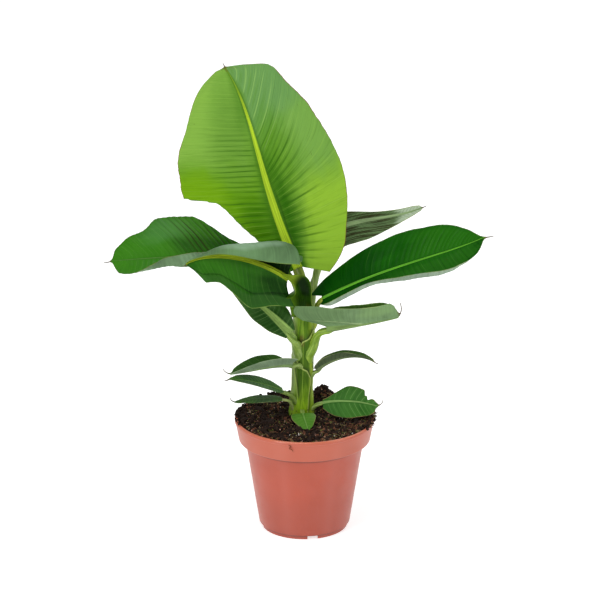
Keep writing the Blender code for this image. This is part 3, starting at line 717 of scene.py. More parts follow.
LEAVES = {
    "crown": dict(
        joint=(-2, 6.4, 278), base=(-8, 4, 338), tip=(-94, 70, 568), rises=(180, 86), leaves=(160, 64), ends=(140, 45), pull=(1.4, 0.8), stout=(7.4, 6.2), flat=0.7, foot=(1.15, 1.0),
        tail=(-3.5, 1, 7.0), faces=((283, 18), (283, 18)), thick=(4.5, 3.2),
        right=dict(width=(34, 71, 94, 75.5, 57.6, 46.6, 22.6, 5.2), lift=(0, 5, 5, 5, 5), curl=(-10, -5, 0, 5, 5), sweep=(-37, 9, 35, 30, 10.5)),
        left=dict(
            width=(60, 84, 100, 96.8, 74.9, 54.4, 29.6, 12), lift=(0, 0, 0, 0, 0), curl=(-20, -10, -8, -8, -8), sweep=(0, 22, 13, 13, 24),
            fold=((0, 0.077, 0.107, 0.13, 0.17, 0.208, 0.235, 0.252, 0.264), (0.2, 0.30, 0.34, 0.38, 0.46, 0.54, 0.59, 0.65, 1.1), -150),
        ),
    ),
    "front_left": dict(
        joint=(-2, 0, 278), base=(-18, -20, 335), tip=(-139, -50, 366), rises=(215, 88), leaves=(194, 40), ends=(188, -35.5), pull=(1.32, 0.61), stalk_pull=(1.6, 0.8),
        faces=((270, 75), (270, 75)), thick=(5, 3),
        trough=dict(opens=((256, 10), (258, 60)), radius=(15.5, 16, 13, 4.8), spread=(108, 125, 150, 130)),
        left=dict(width=(26, 38, 53.8, 43.5, 31.1, 30.1, 20.4, 5), lift=(-70, -62, -52, -49, -52), curl=(-10, 0, 10, 10, 0), sweep=(-55, -8, -2, -2, -10), lobe=-0.7),
        right=dict(width=(58.8, 56.9, 79, 54.9, 28.1, 6.9, 4.5, 2.5), lift=(-25, -11, 14, -3, -3), curl=(226, 257, 265, 252, 215), sweep=(5, -26, -32, -22, -12)),
    ),
    "back_left": dict(
        joint=(-5.5, 14.5, 278), base=(-66, 28, 344), tip=(-230, 12, 344), rises=(120, 86), leaves=(176, 0), ends=(182, -4),
        tail=(-10.4, -1, -2.2), faces=((270, 80), (270, 80)), thick=(3.4, 2.8), stalk_pull=(1.5, 1.2),
        right=dict(width=(14, 28, 64, 66, 46, 34, 20, 5), lift=(20, 20, 20, 20, 15), curl=(-10, -10, -10, -10, -5), sweep=(22, 24, 22, 22, 20)),
        left=dict(width=(14, 24, 36, 44, 40, 38, 28, 5), lift=(-5, -8, -10, 0, -5), curl=(60, 60, 50, 15, 0), sweep=(10, 10, 0, 0, 5), hem=((0.66, 0.62, 0.66, 0.78, 0.9), (110, 120, 120, 60, 0), 0.2)),
    ),
    "right": dict(
        joint=(8, 8, 257), base=(21, -6, 303), tip=(209.5, -35.5, 393), rises=(350, 48), leaves=(350, 32), ends=(350, 30), pull=(1.3, 0.7),
        tail=(14.5, -1.5, 2.6), faces=((270, 55), (270, 55)), thick=(3.6, 3),
        left=dict(width=(14, 26, 38, 45, 39, 23, 9, 3), lift=(-4, 4, 5, 5, 5), curl=(-20, -10, -10, -10, -5), sweep=(-58, -8, 7, 20, 38)),
        right=dict(width=(9, 24, 21, 34, 38.5, 28, 16, 5), lift=(0, 0, 0, 0, 0), curl=(20, 50, 40, 20, 10), sweep=(-50, -6, 2, 8, 15), hem=((0.78, 0.82, 0.86, 0.90, 0.95), (95, 120, 125, 90, 0), 0.08)),
    ),
    "back_right": dict(
        joint=(6, 13, 278), stout=(5.2, 4.8), base=(19, 38, 345), tip=(142, 112, 372), rises=(30, 86), leaves=(35, 78), ends=(32, 8), pull=(1.0, 1.3),
        tail=(7.7, 2, 2.6), faces=((120, -25), (120, -15)), thick=(4.4, 3.8),
        right=dict(width=(10, 18, 20, 15, 9, 7, 6, 4), lift=(20, 20, 20, 20, 20), curl=(0, 0, 0, 0, 0), sweep=(0, 10, 20, 30, 40)),
        left=dict(width=(20, 26, 26, 24, 16, 9, 5, 3), lift=(0, 0, 0, 0, 0), curl=(0, 0, 0, 0, 0), sweep=(0, 25, 40, 55, 60)),
    ),
    "mid_right": dict(
        joint=(7.5, 1, 232), root_at=(7.5, 3.5, 194), base=(27, -14, 268), tip=(111, -28, 288), rises=(340, 60), leaves=(350, 8), ends=(350, 18),
        faces=((270, 85), (270, 85)), thick=(5.5, 3), stout=(6.2, 4.4),
        tail=(3, -0.5, 17), right=dict(width=(36, 35, 29, 24, 22, 21, 21, 16), lift=(72, 72, 74, 78, 82), curl=(15, 15, 15, 10, 10), sweep=(-45, -18, 0, 5, 5), lobe=2.2),
        left=dict(width=(20, 24, 27, 27, 25, 22, 16, 10), lift=(55, 55, 55, 55, 60), curl=(60, 60, 60, 50, 30), sweep=(-20, -10, 0, 5, 10)),
    ),
    "mid_left": dict(
        joint=(-7.5, -0.5, 231), root_at=(-9, 2.5, 196), stout=(6.5, 5.2), foot=(1.25, 1.05), base=(-17, -13, 260), tip=(-88, 5, 314), rises=(215, 72), leaves=(170, 47), ends=(170, 25),
        faces=((255, 60), (260, 70)), thick=(5, 3),
        left=dict(width=(8, 12, 17, 19, 15, 10, 6, 3), lift=(-35, -30, -30, -30, -20), curl=(10, 10, 10, 10, 0), sweep=(-10, 0, 10, 20, 30)),
        right=dict(width=(8, 14, 20, 22, 20, 14, 9, 3), lift=(10, 10, 10, 10, 10), curl=(-10, -10, -10, -10, 0), sweep=(-10, 0, 10, 20, 30)),
    ),
    "low_right": dict(
        joint=(6, 5, 194), base=(15, 2, 206), tip=(82, -12, 224), rises=(350, 55), leaves=(350, 45), ends=(348, -25),
        tail=(6.5, 0, -4.4), faces=((270, 80), (270, 80)), thick=(3.5, 2.4),
        right=dict(width=(6, 9, 12, 12, 9, 6, 4, 2), lift=(60, 60, 60, 50, 50), curl=(10, 10, 10, 10, 0), sweep=(-10, 0, 10, 20, 30)),
        left=dict(width=(5, 7, 9, 9, 7, 5, 3, 2), lift=(50, 50, 50, 50, 50), curl=(20, 20, 20, 20, 0), sweep=(-10, 0, 10, 20, 30)),
    ),
    "low_left": dict(
        joint=(-3, 0, 210), base=(-15, -12, 219), tip=(-88, -35, 217), rises=(225, 45), leaves=(190, 4), ends=(190, -4),
        tail=(-9.1, -1, 6.1), faces=((270, 85), (270, 85)), thick=(4.5, 2.6),
        left=dict(width=(11, 13, 14, 14, 12, 8, 5, 2), lift=(60, 60, 60, 55, 50), curl=(10, 10, 10, 10, 0), sweep=(-40, -5, 10, 20, 30)),
        right=dict(width=(5, 9, 17, 19, 16, 11, 6, 2), lift=(30, 30, 30, 30, 30), curl=(-10, -10, -10, -10, 0), sweep=(-10, 0, 10, 20, 30)),
    ),
    "lower_left": dict(
        joint=(-9, 2, 161), base=(-26, -15, 186), tip=(-89, -45, 215), rises=(215, 60), leaves=(205, 30), ends=(205, 12),
        tail=(-7.5, -1, -2.8), faces=((270, 75), (270, 75)), thick=(4, 2.4),
        left=dict(width=(5, 9, 13, 13, 10, 7, 4, 2), lift=(0, 5, 5, 5, 5), curl=(10, 10, 10, 10, 0), sweep=(-10, 0, 10, 20, 30)),
        right=dict(width=(5, 8, 12, 13, 11, 8, 4, 2), lift=(10, 10, 10, 10, 10), curl=(-10, -10, -10, -10, 0), sweep=(-10, 0, 10, 20, 30)),
    ),
    "base_left": dict(
        joint=(-13, 2, 151), base=(-27, -16, 176), tip=(-84, -30, 178), rises=(215, 68), leaves=(188, 8), ends=(190, -4),
        tail=(-5.3, 0, 5), faces=((270, 89), (270, 89)), thick=(2.5, 1.8),
        left=dict(width=(4, 7, 9, 9, 8, 5, 4, 2), lift=(-5, -5, -5, -5, -5), curl=(0, 0, 0, 0, 0), sweep=(-10, 0, 10, 20, 30)),
        right=dict(width=(5, 9, 12, 13, 11, 7, 4, 2), lift=(-5, -5, -5, -5, -5), curl=(0, 0, 0, 0, 0), sweep=(-10, 0, 10, 20, 30)),
    ),
    "base_right": dict(
        joint=(6, 4, 152), base=(22, -2, 164), tip=(88, -12, 164), rises=(345, 35), leaves=(350, 15), ends=(345, -12),
        tail=(6.6, 1, 7.3), faces=((270, 50), (270, 45)), thick=(3.5, 2.4),
        right=dict(width=(7, 13, 19, 21, 18, 14, 9, 3), lift=(-5, -5, -5, -5, -5), curl=(-10, -10, -10, -10, 0), sweep=(-10, 0, 10, 20, 30)),
        left=dict(width=(4, 6, 12, 20, 17, 9, 5, 3), lift=(5, 5, 5, 5, 5), curl=(-10, -10, -10, -10, 0), sweep=(-20, 0, 10, 20, 30)),
    ),
    "base_front": dict(
        joint=(-3, 2, 153), base=(-2, -15, 156), tip=(4, -45, 148), rises=(270, 20), leaves=(275, 0), ends=(285, -35),
        faces=((270, 70), (270, 60)), thick=(3, 2.4),
        left=dict(width=(12, 14, 15, 13, 10, 7, 4, 2), lift=(0, 0, 0, 0, 0), curl=(-10, -10, -10, -10, 0), sweep=(-10, 0, 10, 20, 30)),
        right=dict(width=(12, 15, 15, 13, 10, 7, 4, 2), lift=(0, 0, 0, 0, 0), curl=(-10, -10, -10, -10, 0), sweep=(-10, 0, 10, 20, 30)),
    ),
}


# ------------------------------------------------------------------ leaf looks
# For each blade: rows and columns, relief, the half width of its midrib at equal steps from base to tip, and its colours
# in sRGB. Zones are washes of colour over a part of the upper side (zones) or underside (low_zones), given by the stretch
# from base to tip and the stretch from the left margin (-1) to the right one (+1), each with its fade. Marks are thin
# lines (positive dark, negative pale) that follow a share of the half width.
SPEC = {
    "crown": dict(
        grid=(232, 64), seed=11, ripple=(6.4, 0.4), buckle=1.5, ruffle=(1.6, 30), pleats=(0.04, 0.60, 0.62),
        veer_left=(-0.02, -0.03, 0.0, 0.05, 0.03), veer_right=(0.0, 0.02, 0.14, 0.22, 0.10), bow=1.1, rib_at=(5.4, 4.0, 2.5, 1.4, 0.3),
        dark=(34, 84, 2), mid=(92, 138, 34), bright=(108, 154, 50), under=(150, 178, 96), rib_colour=(172, 204, 46),
        margin=(126, 74, 46), pleat=0.7, gloss=0.44, veins=0.3, near=0.45, vein_colour=(176, 206, 96), rib_ends=0.72, big_veins=(21.0, 0.42, (154, 194, 102), 0.42, 0.16),
        zones=(
            ((114, 158, 60), 0.9, (0.46, 1.1, 0.14), (-1.2, -0.10, 0.12)),
            ((126, 168, 66), 0.7, (0.44, 1.0, 0.12), (-1.2, -0.66, 0.2)),
            ((88, 132, 44), 0.65, (0.40, 0.86, 0.14), (-0.52, -0.06, 0.34)),
            ((90, 140, 2), 0.95, (-0.2, 0.38, 0.10), (-1.2, -0.10, 0.10)),
            ((112, 158, 14), 0.7, (0.12, 0.36, 0.08), (-1.2, -0.55, 0.16)),
            # painted sheen: a greyer green over the upper right half
            ((98, 142, 78), 0.95, (0.50, 1.1, 0.12), (0.04, 1.2, 0.08)),
            ((112, 156, 70), 0.9, (0.26, 0.56, 0.12), (0.45, 1.2, 0.2)),
            ((140, 182, 50), 0.95, (-0.2, 0.26, 0.08), (0.40, 1.2, 0.14)),
            # painted shade: darker near the midrib at the base, right half
            ((36, 92, 1), 0.95, (-0.1, 0.46, 0.12), (0.0, 0.28, 0.15)),
            ((90, 66, 34), 0.7, (0.99, 1.2, 0.010), (-0.35, 0.6, 0.3)),
            ((84, 134, 30), 0.8, (0.30, 0.62, 0.12), (0.10, 0.48, 0.14)),
            # painted shade: darker near the midrib at the base, left half
            ((58, 110, 2), 0.8, (-0.1, 0.30, 0.10), (-0.34, -0.0, 0.12)),
            ((78, 124, 36), 0.7, (0.62, 0.98, 0.10), (-0.22, 0.10, 0.10)),
        ),
        marks=(
            ((0.10, 0.08, 0.07, 0.06, 0.05), 0.5, 0.7, "right", 0.0, 0.3),
        ),
    ),
    "front_left": dict(
        grid=(178, 52), seed=21, ripple=(6.2, 0.18), buckle=1.4, ruffle=(1.0, 22), pleats=(0.0, 0.9, 0.9),
        veer_left=(-0.10, -0.14, -0.14, -0.10, -0.03), rib_at=(4.6, 3.6, 2.7, 1.8, 0.6),
        dark=(6, 40, 1), mid=(28, 80, 12), bright=(48, 100, 24), under=(98, 132, 88), rib_colour=(170, 196, 44),
        margin=(120, 150, 70), pleat=0.12, gloss=0.34, veins=0.16, near=0.2, under_stripes=0.06,
        zones=(
            ((10, 46, 4), 0.9, (-0.2, 0.26, 0.10), (-0.95, -0.2, 0.15)),
            ((50, 92, 34), 0.6, (-0.2, 0.95, 0.06), (-1.2, -0.70, 0.04)),
            ((48, 106, 20), 0.6, (0.30, 0.9, 0.12), (-0.62, -0.05, 0.12)),
            # painted shade: the upper side of the curled right half is darkened as the inside of the curl
            ((10, 30, 4), 0.9, (-0.2, 1.2, 0.1), (0.02, 1.2, 0.05)),
        ),
        low_zones=(((150, 178, 152), 0.6, (0.3, 0.62, 0.1), (0.25, 0.7, 0.1)), ((72, 108, 62), 0.6, (-0.1, 0.18, 0.06), (0.3, 1.2, 0.1))),
        creases=(((0.64, 0.67, 0.68, 0.66, 0.6), 1.1, 1.3, "left"),),
        # painted shadow: a dark line along the crease of the left half
        marks=(((0.64, 0.67, 0.68, 0.66, 0.6), 0.6, 0.5, "left", 0.0, 0.92),),
    ),
    "back_left": dict(
        grid=(160, 46), seed=31, ripple=(6.4, 0.6), buckle=1.5, ruffle=(1.5, 20), pleats=(0.0, 0.46, 1.0),
        rib_at=(1.8, 1.5, 1.2, 0.9, 0.4),
        dark=(18, 66, 3), mid=(36, 98, 8), bright=(62, 124, 26), under=(112, 142, 104), rib_colour=(84, 136, 52),
        margin=(110, 120, 60), pleat=0.85, pleat_colour=(46, 40, 18), gloss=0.34, veins=0.18, near=0.3, under_stripes=0.1,
        zones=(
            ((34, 84, 16), 0.7, (0.1, 0.5, 0.1), (0.0, 0.45, 0.2)),
            ((56, 122, 20), 0.7, (0.55, 1.1, 0.14), (-1.2, 0.9, 0.2)),
            ((88, 140, 78), 0.45, (0.35, 0.7, 0.12), (0.45, 0.95, 0.15)),
        ),
    ),
    "right": dict(
        grid=(160, 46), seed=41, ripple=(6.8, 0.22), buckle=1.3, ruffle=(1.2, 20), pleats=(0.2, 1.1, 0.9),
        veer_left=(0.04, 0.07, 0.09, 0.08, 0.04), rib_at=(1.9, 1.5, 1.2, 0.9, 0.45),
        dark=(1, 44, 0), mid=(7, 70, 1), bright=(20, 88, 4), under=(150, 170, 146), rib_colour=(98, 172, 44),
        margin=(120, 140, 80), pleat=0.25, gloss=0.34, veins=0.2, vein_gap=0.5, near=0.35, under_stripes=0.15,
        zones=(
            ((36, 104, 8), 0.7, (0.52, 1.1, 0.14), (-0.95, 0.0, 0.15)),
            ((38, 98, 18), 0.6, (0.34, 0.95, 0.12), (0.12, 0.85, 0.1)),
            ((2, 54, 2), 0.7, (-0.2, 0.32, 0.1), (-1.2, 1.2, 0.1)),
        ),
    ),
    "back_right": dict(
        grid=(140, 32), seed=51, ripple=(4.4, 0.45), buckle=0.8, ruffle=(0.9, 18), rib_at=(3.4, 2.6, 1.8, 1.2, 0.5),
        dark=(48, 88, 34), mid=(74, 122, 46), bright=(104, 156, 56), under=(92, 118, 74), rib_colour=(138, 164, 112),
        margin=(150, 160, 110), pleat=0.5, gloss=0.38, under_stripes=0.25, long_stripes=0.9, stripe_colour=(42, 40, 14),
        low_zones=(((178, 196, 166), 0.9, (0.84, 1.2, 0.05), (-1.2, 1.2, 0.1)),),
    ),
    "mid_right": dict(
        grid=(130, 42), seed=61, ripple=(5.5, 0.25), buckle=1.2, ruffle=(1.2, 14), rib_at=(3.6, 2.4, 1.6, 1.1, 0.6),
        dark=(44, 84, 30), mid=(74, 116, 44), bright=(104, 150, 60), under=(112, 141, 97), rib_colour=(120, 148, 84),
        margin=(150, 172, 104), pleat=0.4, gloss=0.38, under_stripes=0.1,
        low_zones=(((88, 116, 72), 0.6, (-0.1, 0.3, 0.1), (0.2, 1.2, 0.2)), ((124, 156, 100), 0.6, (0.5, 1.0, 0.1), (0.4, 1.2, 0.2))),
        creases=(((0.45, 0.3, 0.12, 0.05, 0.0), 1.4, 2.2, "right"),),
        marks=(((0.42, 0.27, 0.10, 0.03, 0.0), -0.5, 0.8, "right", 0.05, 0.5),),
    ),
    "mid_left": dict(
        grid=(110, 28), seed=71, ripple=(5.5, 0.25), buckle=0.8, ruffle=(0.8, 16), rib_at=(5.0, 4.0, 2.6, 1.4, 0.6),
        dark=(14, 52, 4), mid=(50, 92, 32), bright=(88, 124, 70), under=(116, 140, 96), rib_colour=(140, 172, 90),
        margin=(120, 134, 74), pleat=0.5, gloss=0.36, veins=0.4,
        zones=(((18, 54, 8), 0.8, (-0.2, 0.6, 0.15), (-1.2, -0.2, 0.15)),),
    ),
    "low_right": dict(
        grid=(96, 22), seed=81, ripple=(4.5, 0.2), buckle=0.6, ruffle=(0.7, 12), rib_at=(1.8, 1.4, 1.0, 0.8, 0.4),
        dark=(34, 66, 18), mid=(56, 90, 34), bright=(80, 114, 50), under=(86, 102, 72), rib_colour=(110, 128, 84),
        margin=(130, 136, 96), pleat=0.4, gloss=0.4, under_stripes=0.35,
    ),
    "low_left": dict(
        grid=(96, 22), seed=91, ripple=(4.5, 0.2), buckle=0.6, ruffle=(0.7, 12), rib_at=(2.4, 1.7, 1.1, 0.8, 0.4),
        dark=(18, 50, 6), mid=(34, 70, 20), bright=(60, 98, 38), under=(134, 158, 124), rib_colour=(120, 146, 92),
        margin=(150, 168, 128), pleat=0.4, gloss=0.4, under_stripes=0.1,
    ),
    "lower_left": dict(
        grid=(96, 22), seed=101, ripple=(4.5, 0.2), buckle=0.6, ruffle=(0.7, 12), rib_at=(1.8, 1.3, 0.9, 0.7, 0.4),
        dark=(10, 50, 4), mid=(34, 78, 22), bright=(72, 112, 52), under=(100, 126, 80), rib_colour=(96, 134, 66),
        margin=(120, 130, 88), pleat=0.4, gloss=0.4,
    ),
    "base_left": dict(
        grid=(96, 22), seed=111, ripple=(4.5, 0.2), buckle=0.5, ruffle=(0.9, 8), ragged=0.09, rib_at=(1.4, 1.0, 0.7, 0.6, 0.4),
        dark=(14, 44, 4), mid=(38, 78, 20), bright=(66, 106, 38), under=(86, 112, 64), rib_colour=(80, 112, 54),
        margin=(120, 134, 88), pleat=0.3, gloss=0.4,
    ),
    "base_right": dict(
        grid=(110, 28), seed=121, ripple=(6.5, 0.3), buckle=0.7, ruffle=(0.8, 14), rib_at=(1.8, 1.3, 1.0, 0.8, 0.4),
        nicks=((0.80, 3.0, 0.5, "left"), (0.72, 2.0, 0.3, "left")), veer_right=(0.06, 0.12, 0.14, 0.12, 0.06),
        dark=(24, 70, 14), mid=(42, 90, 28), bright=(66, 116, 44), under=(112, 142, 88), rib_colour=(130, 168, 92),
        margin=(136, 120, 76), pleat=0.3, gloss=0.36, veins=0.6,
    ),
    "base_front": dict(
        grid=(80, 22), seed=131, ripple=(5.0, 0.2), buckle=0.5, ruffle=(0.6, 12), specks=0.9, rib_at=(1.4, 1.0, 0.8, 0.6, 0.4),
        dark=(44, 92, 16), mid=(64, 112, 30), bright=(84, 130, 46), under=(118, 144, 92), rib_colour=(110, 154, 72),
        margin=(136, 130, 80), pleat=0.25, gloss=0.38, veins=0.2,
    ),
}


def washes(k, colour, zones, sta, lane, seed):
    if not zones:
        return colour
    stray = k.noise(k.place(k.math("MULTIPLY", sta, 2.6), k.math("MULTIPLY", lane, 1.8), seed + 30), 1.0, 3.0, 0.55)
    other = k.noise(k.place(k.math("MULTIPLY", sta, 3.4), k.math("MULTIPLY", lane, 2.4), seed + 40), 1.0, 3.0, 0.55)
    s = k.math("ADD", sta, k.math("MULTIPLY", k.math("SUBTRACT", stray, 0.5), 0.35))
    o = k.math("ADD", lane, k.math("MULTIPLY", k.math("SUBTRACT", other, 0.5), 0.4))
    for tint, strength, (s0, s1, sf), (o0, o1, of) in zones:
        m = k.math("MULTIPLY", k.range(s, s0 - sf, s0 + sf), k.range(s, s1 + sf, s1 - sf))
        m = k.math("MULTIPLY", m, k.math("MULTIPLY", k.range(o, o0 - of, o0 + of), k.range(o, o1 + of, o1 - of)))
        colour = k.mix(k.math("MULTIPLY", m, strength), colour, lin(*tint))
    return colour


def blade_look(name, leaf):
    k = Look("blade_" + name, leaf["gloss"], 0.05)
    vein, off, edge, sta, rib, upper, mark = (k.attr(a) for a in ("vein", "off", "edge", "sta", "rib", "upper", "mark"))
    away = k.math("ABSOLUTE", off)
    whole = k.math("MAXIMUM", k.math("ADD", away, edge), 0.01)
    share, lane = k.math("DIVIDE", away, whole), k.math("DIVIDE", off, whole)
    seed = leaf["seed"] * 1.7
    pitch = leaf["ripple"][0]
    wave = k.math("SINE", k.math("MULTIPLY", vein, 2 * math.pi / pitch))
    broad = k.noise(k.place(k.math("MULTIPLY", vein, 0.03), k.math("MULTIPLY", off, 0.022), seed), 1.0, 3.0, 0.55)
    streak = k.noise(k.place(k.math("MULTIPLY", vein, 0.32), k.math("MULTIPLY", off, 0.012), seed + 5), 1.0, 3.0, 0.6)
    fine = k.noise(k.place(k.math("MULTIPLY", vein, 1.7), k.math("MULTIPLY", off, 0.03), seed + 9), 1.0, 2.0, 0.6)
    # upper side
    colour = k.mix(k.range(broad, 0.32, 0.68), lin(*leaf["mid"]), lin(*leaf["bright"]))
    colour = washes(k, colour, leaf.get("zones", ()), sta, lane, seed)
    zone = leaf.get("pleats", (0.0, 1.0, 0.9))
    body = k.math("MULTIPLY", k.range(share, 0.02, 0.12), k.range(share, zone[2] * 1.25, zone[2] * 0.6))
    body = k.math("MULTIPLY", body, k.math("MULTIPLY", k.range(sta, zone[0] - 0.08, zone[0] + 0.08), k.range(sta, zone[1] + 0.12, zone[1] - 0.12)))
    # painted shade: the troughs of the pleats are darkened; on back_left the pleat colour is brown, for its brown
    # streaks as well
    pleat = k.math("MULTIPLY", k.range(wave, -0.3, -1.0), k.range(streak, 0.36, 0.6))
    colour = k.mix(k.math("MULTIPLY", k.math("MULTIPLY", pleat, body), leaf["pleat"]), colour, lin(*leaf.get("pleat_colour", leaf["dark"])))
    # painted shade: the blade darkens next to the midrib, where the halves fall into a valley
    near = k.range(away, k.math("MULTIPLY", rib, 3.2), k.math("MULTIPLY", rib, 1.2))
    colour = k.mix(k.math("MULTIPLY", near, leaf.get("near", 0.4)), colour, lin(*leaf["dark"]))
    colour = k.mix(k.math("MULTIPLY", k.range(fine, 0.45, 0.75), 0.22), colour, lin(*leaf["bright"]))
    colour = k.mix(k.math("MULTIPLY", k.range(fine, 0.5, 0.28), 0.25), colour, lin(*leaf["dark"]))
    gap = leaf.get("vein_gap", 0.4)
    thin = k.math("MULTIPLY", k.range(wave, 0.93, 0.995), k.math("MULTIPLY", k.range(share, 0.05, 0.2), k.range(streak, gap, gap + 0.2)))
    pale = lin(*[0.45 * c + 0.55 * d for c, d in zip(leaf["bright"], leaf.get("vein_colour", (170, 204, 128)))])
    colour = k.mix(k.math("MULTIPLY", thin, leaf.get("veins", 0.35)), colour, pale)
    if "big_veins" in leaf:
        gap, strength, tint, high, inner = leaf["big_veins"]
        sway = k.noise(k.place(k.math("MULTIPLY", vein, 0.05), k.math("MULTIPLY", off, 0.02), seed + 21), 1.0, 2.0, 0.5)
        crest = k.math("SINE", k.math("MULTIPLY", k.math("ADD", vein, k.math("MULTIPLY", sway, 9.0)), 2 * math.pi / gap))
        lay = k.math("MULTIPLY", k.range(crest, 0.90, 0.995), k.math("MULTIPLY", k.range(sta, high, high + 0.14), k.range(lane, inner - 0.1, inner)))
        lay = k.math("MULTIPLY", lay, k.math("MULTIPLY", k.range(lane, 0.92, 0.6), k.range(streak, 0.34, 0.52)))
        colour = k.mix(k.math("MULTIPLY", lay, strength), colour, lin(*tint))
        dip = k.math("MULTIPLY", k.range(crest, -0.2, -0.95), k.math("MULTIPLY", k.range(sta, high, high + 0.14), k.range(lane, inner - 0.1, inner + 0.1)))
        colour = k.mix(k.math("MULTIPLY", k.math("MULTIPLY", dip, k.range(lane, 0.7, 0.35)), 0.45), colour, lin(84, 132, 50))
    # dark marks; on front_left the mark is a painted shadow line along its crease
    colour = k.mix(k.math("MAXIMUM", mark, 0.0), colour, lin(*[0.4 * c for c in leaf["dark"]]))
    line = k.noise(k.place(k.math("MULTIPLY", off, 1.1), k.math("MULTIPLY", sta, 6.0), seed + 2), 1.0, 2.0)
    rib_c = k.mix(k.range(line, 0.35, 0.65), lin(*leaf["rib_colour"]), lin(*[0.84 * c for c in leaf["rib_colour"]]))
    on_rib = k.range(away, k.math("MULTIPLY", rib, 1.2), k.math("MULTIPLY", rib, 0.85))
    ends = leaf.get("rib_ends", 2.0)
    colour = k.mix(k.math("MULTIPLY", on_rib, k.range(sta, ends + 0.2, ends, 0.25, 1.0)), colour, rib_c)
    # underside: paler and greyer
    low = k.mix(k.range(broad, 0.35, 0.65), lin(*leaf["under"]), lin(*[0.82 * c for c in leaf["under"]]))
    low = washes(k, low, leaf.get("low_zones", ()), sta, lane, seed + 3)
    stripe = k.math("MULTIPLY", k.range(wave, -0.1, -0.9), k.range(streak, 0.3, 0.55))
    low = k.mix(k.math("MULTIPLY", stripe, leaf.get("under_stripes", 0.2)), low, lin(*leaf.get("stripe_colour", [0.5 * c for c in leaf["under"]])))
    if "long_stripes" in leaf:
        along = k.noise(k.place(k.math("MULTIPLY", off, 0.62), k.math("MULTIPLY", vein, 0.02), seed + 17), 1.0, 2.0, 0.5)
        low = k.mix(k.math("MULTIPLY", k.math("MULTIPLY", k.range(along, 0.46, 0.56), k.range(sta, 0.86, 0.7)), leaf["long_stripes"]), low, lin(*leaf["stripe_colour"]))
    low = k.mix(k.math("MULTIPLY", k.range(fine, 0.45, 0.75), 0.22), low, lin(*[min(255, 1.14 * c) for c in leaf["under"]]))
    low = k.mix(k.math("MULTIPLY", k.range(fine, 0.5, 0.28), 0.2), low, lin(*[0.78 * c for c in leaf["under"]]))
    low = k.mix(k.range(away, k.math("MULTIPLY", rib, 1.6), k.math("MULTIPLY", rib, 1.0)), low, rib_c)
    colour = k.mix(upper, low, colour)
    colour = k.mix(k.math("MAXIMUM", k.math("MULTIPLY", mark, -1.0), 0.0), colour, lin(176, 196, 140))
    # margin, specks and the dry tail
    brown = k.noise(k.place(k.math("MULTIPLY", vein, 0.06), seed, 3.0), 1.0, 2.0)
    colour = k.mix(k.math("MULTIPLY", k.range(edge, 0.8, 0.3), k.range(brown, 0.3, 0.55)), colour, lin(*leaf["margin"]))
    spots = k.noise(k.place(k.math("MULTIPLY", vein, 0.22), k.math("MULTIPLY", off, 0.22), seed + 13), 1.0, 4.0, 0.6)
    colour = k.mix(k.math("MULTIPLY", k.range(spots, 0.70, 0.76), leaf.get("specks", 0.5)), colour, lin(58, 44, 22))
    dry = k.mix(k.range(streak, 0.35, 0.65), lin(52, 40, 26), lin(110, 92, 56))
    colour = k.mix(k.range(sta, 1.0, 1.3), colour, dry)
    gloss = k.range(k.math("ADD", k.math("MULTIPLY", broad, 0.5), k.math("MULTIPLY", fine, 0.5)), 0.3, 0.7, leaf["gloss"] - 0.06, leaf["gloss"] + 0.12)
    return k.finish(colour, gloss, k.bump(fine, 0.18, 0.0003))


def stalk_look(name, pale, mid, dark, groove=0.5):
    k = Look("petiole_" + name, 0.4, 0.45)
    sta, top, turn = k.attr("sta"), k.attr("top"), k.attr("turn")
    at = k.place(k.math("MULTIPLY", k.math("SINE", turn), 3.5), k.math("MULTIPLY", top, 3.5), k.math("MULTIPLY", sta, 1.3))
    streak = k.noise(at, 1.0, 3.0, 0.6)
    long_noise = k.noise(k.place(k.math("MULTIPLY", sta, 3.0), 2.0, top), 1.0, 3.0)
    colour = k.mix(k.range(streak, 0.35, 0.65), lin(*pale), lin(*mid))
    colour = k.mix(k.math("MULTIPLY", k.range(long_noise, 0.45, 0.7), 0.5), colour, lin(*dark))
    # painted shade: darker along the groove on top of the stalk
    colour = k.mix(k.math("MULTIPLY", k.range(top, 0.75, 0.98), groove), colour, lin(*dark))
    fine = k.noise(k.place(k.math("MULTIPLY", k.math("SINE", turn), 14.0), k.math("MULTIPLY", top, 14.0), k.math("MULTIPLY", sta, 2.0)), 1.0, 2.0)
    colour = k.mix(k.math("MULTIPLY", k.range(fine, 0.5, 0.72), 0.3), colour, lin(*[min(255, 1.1 * c) for c in pale]))
    return k.finish(colour, k.range(streak, 0.3, 0.7, 0.34, 0.5), k.bump(fine, 0.2, 0.0002))


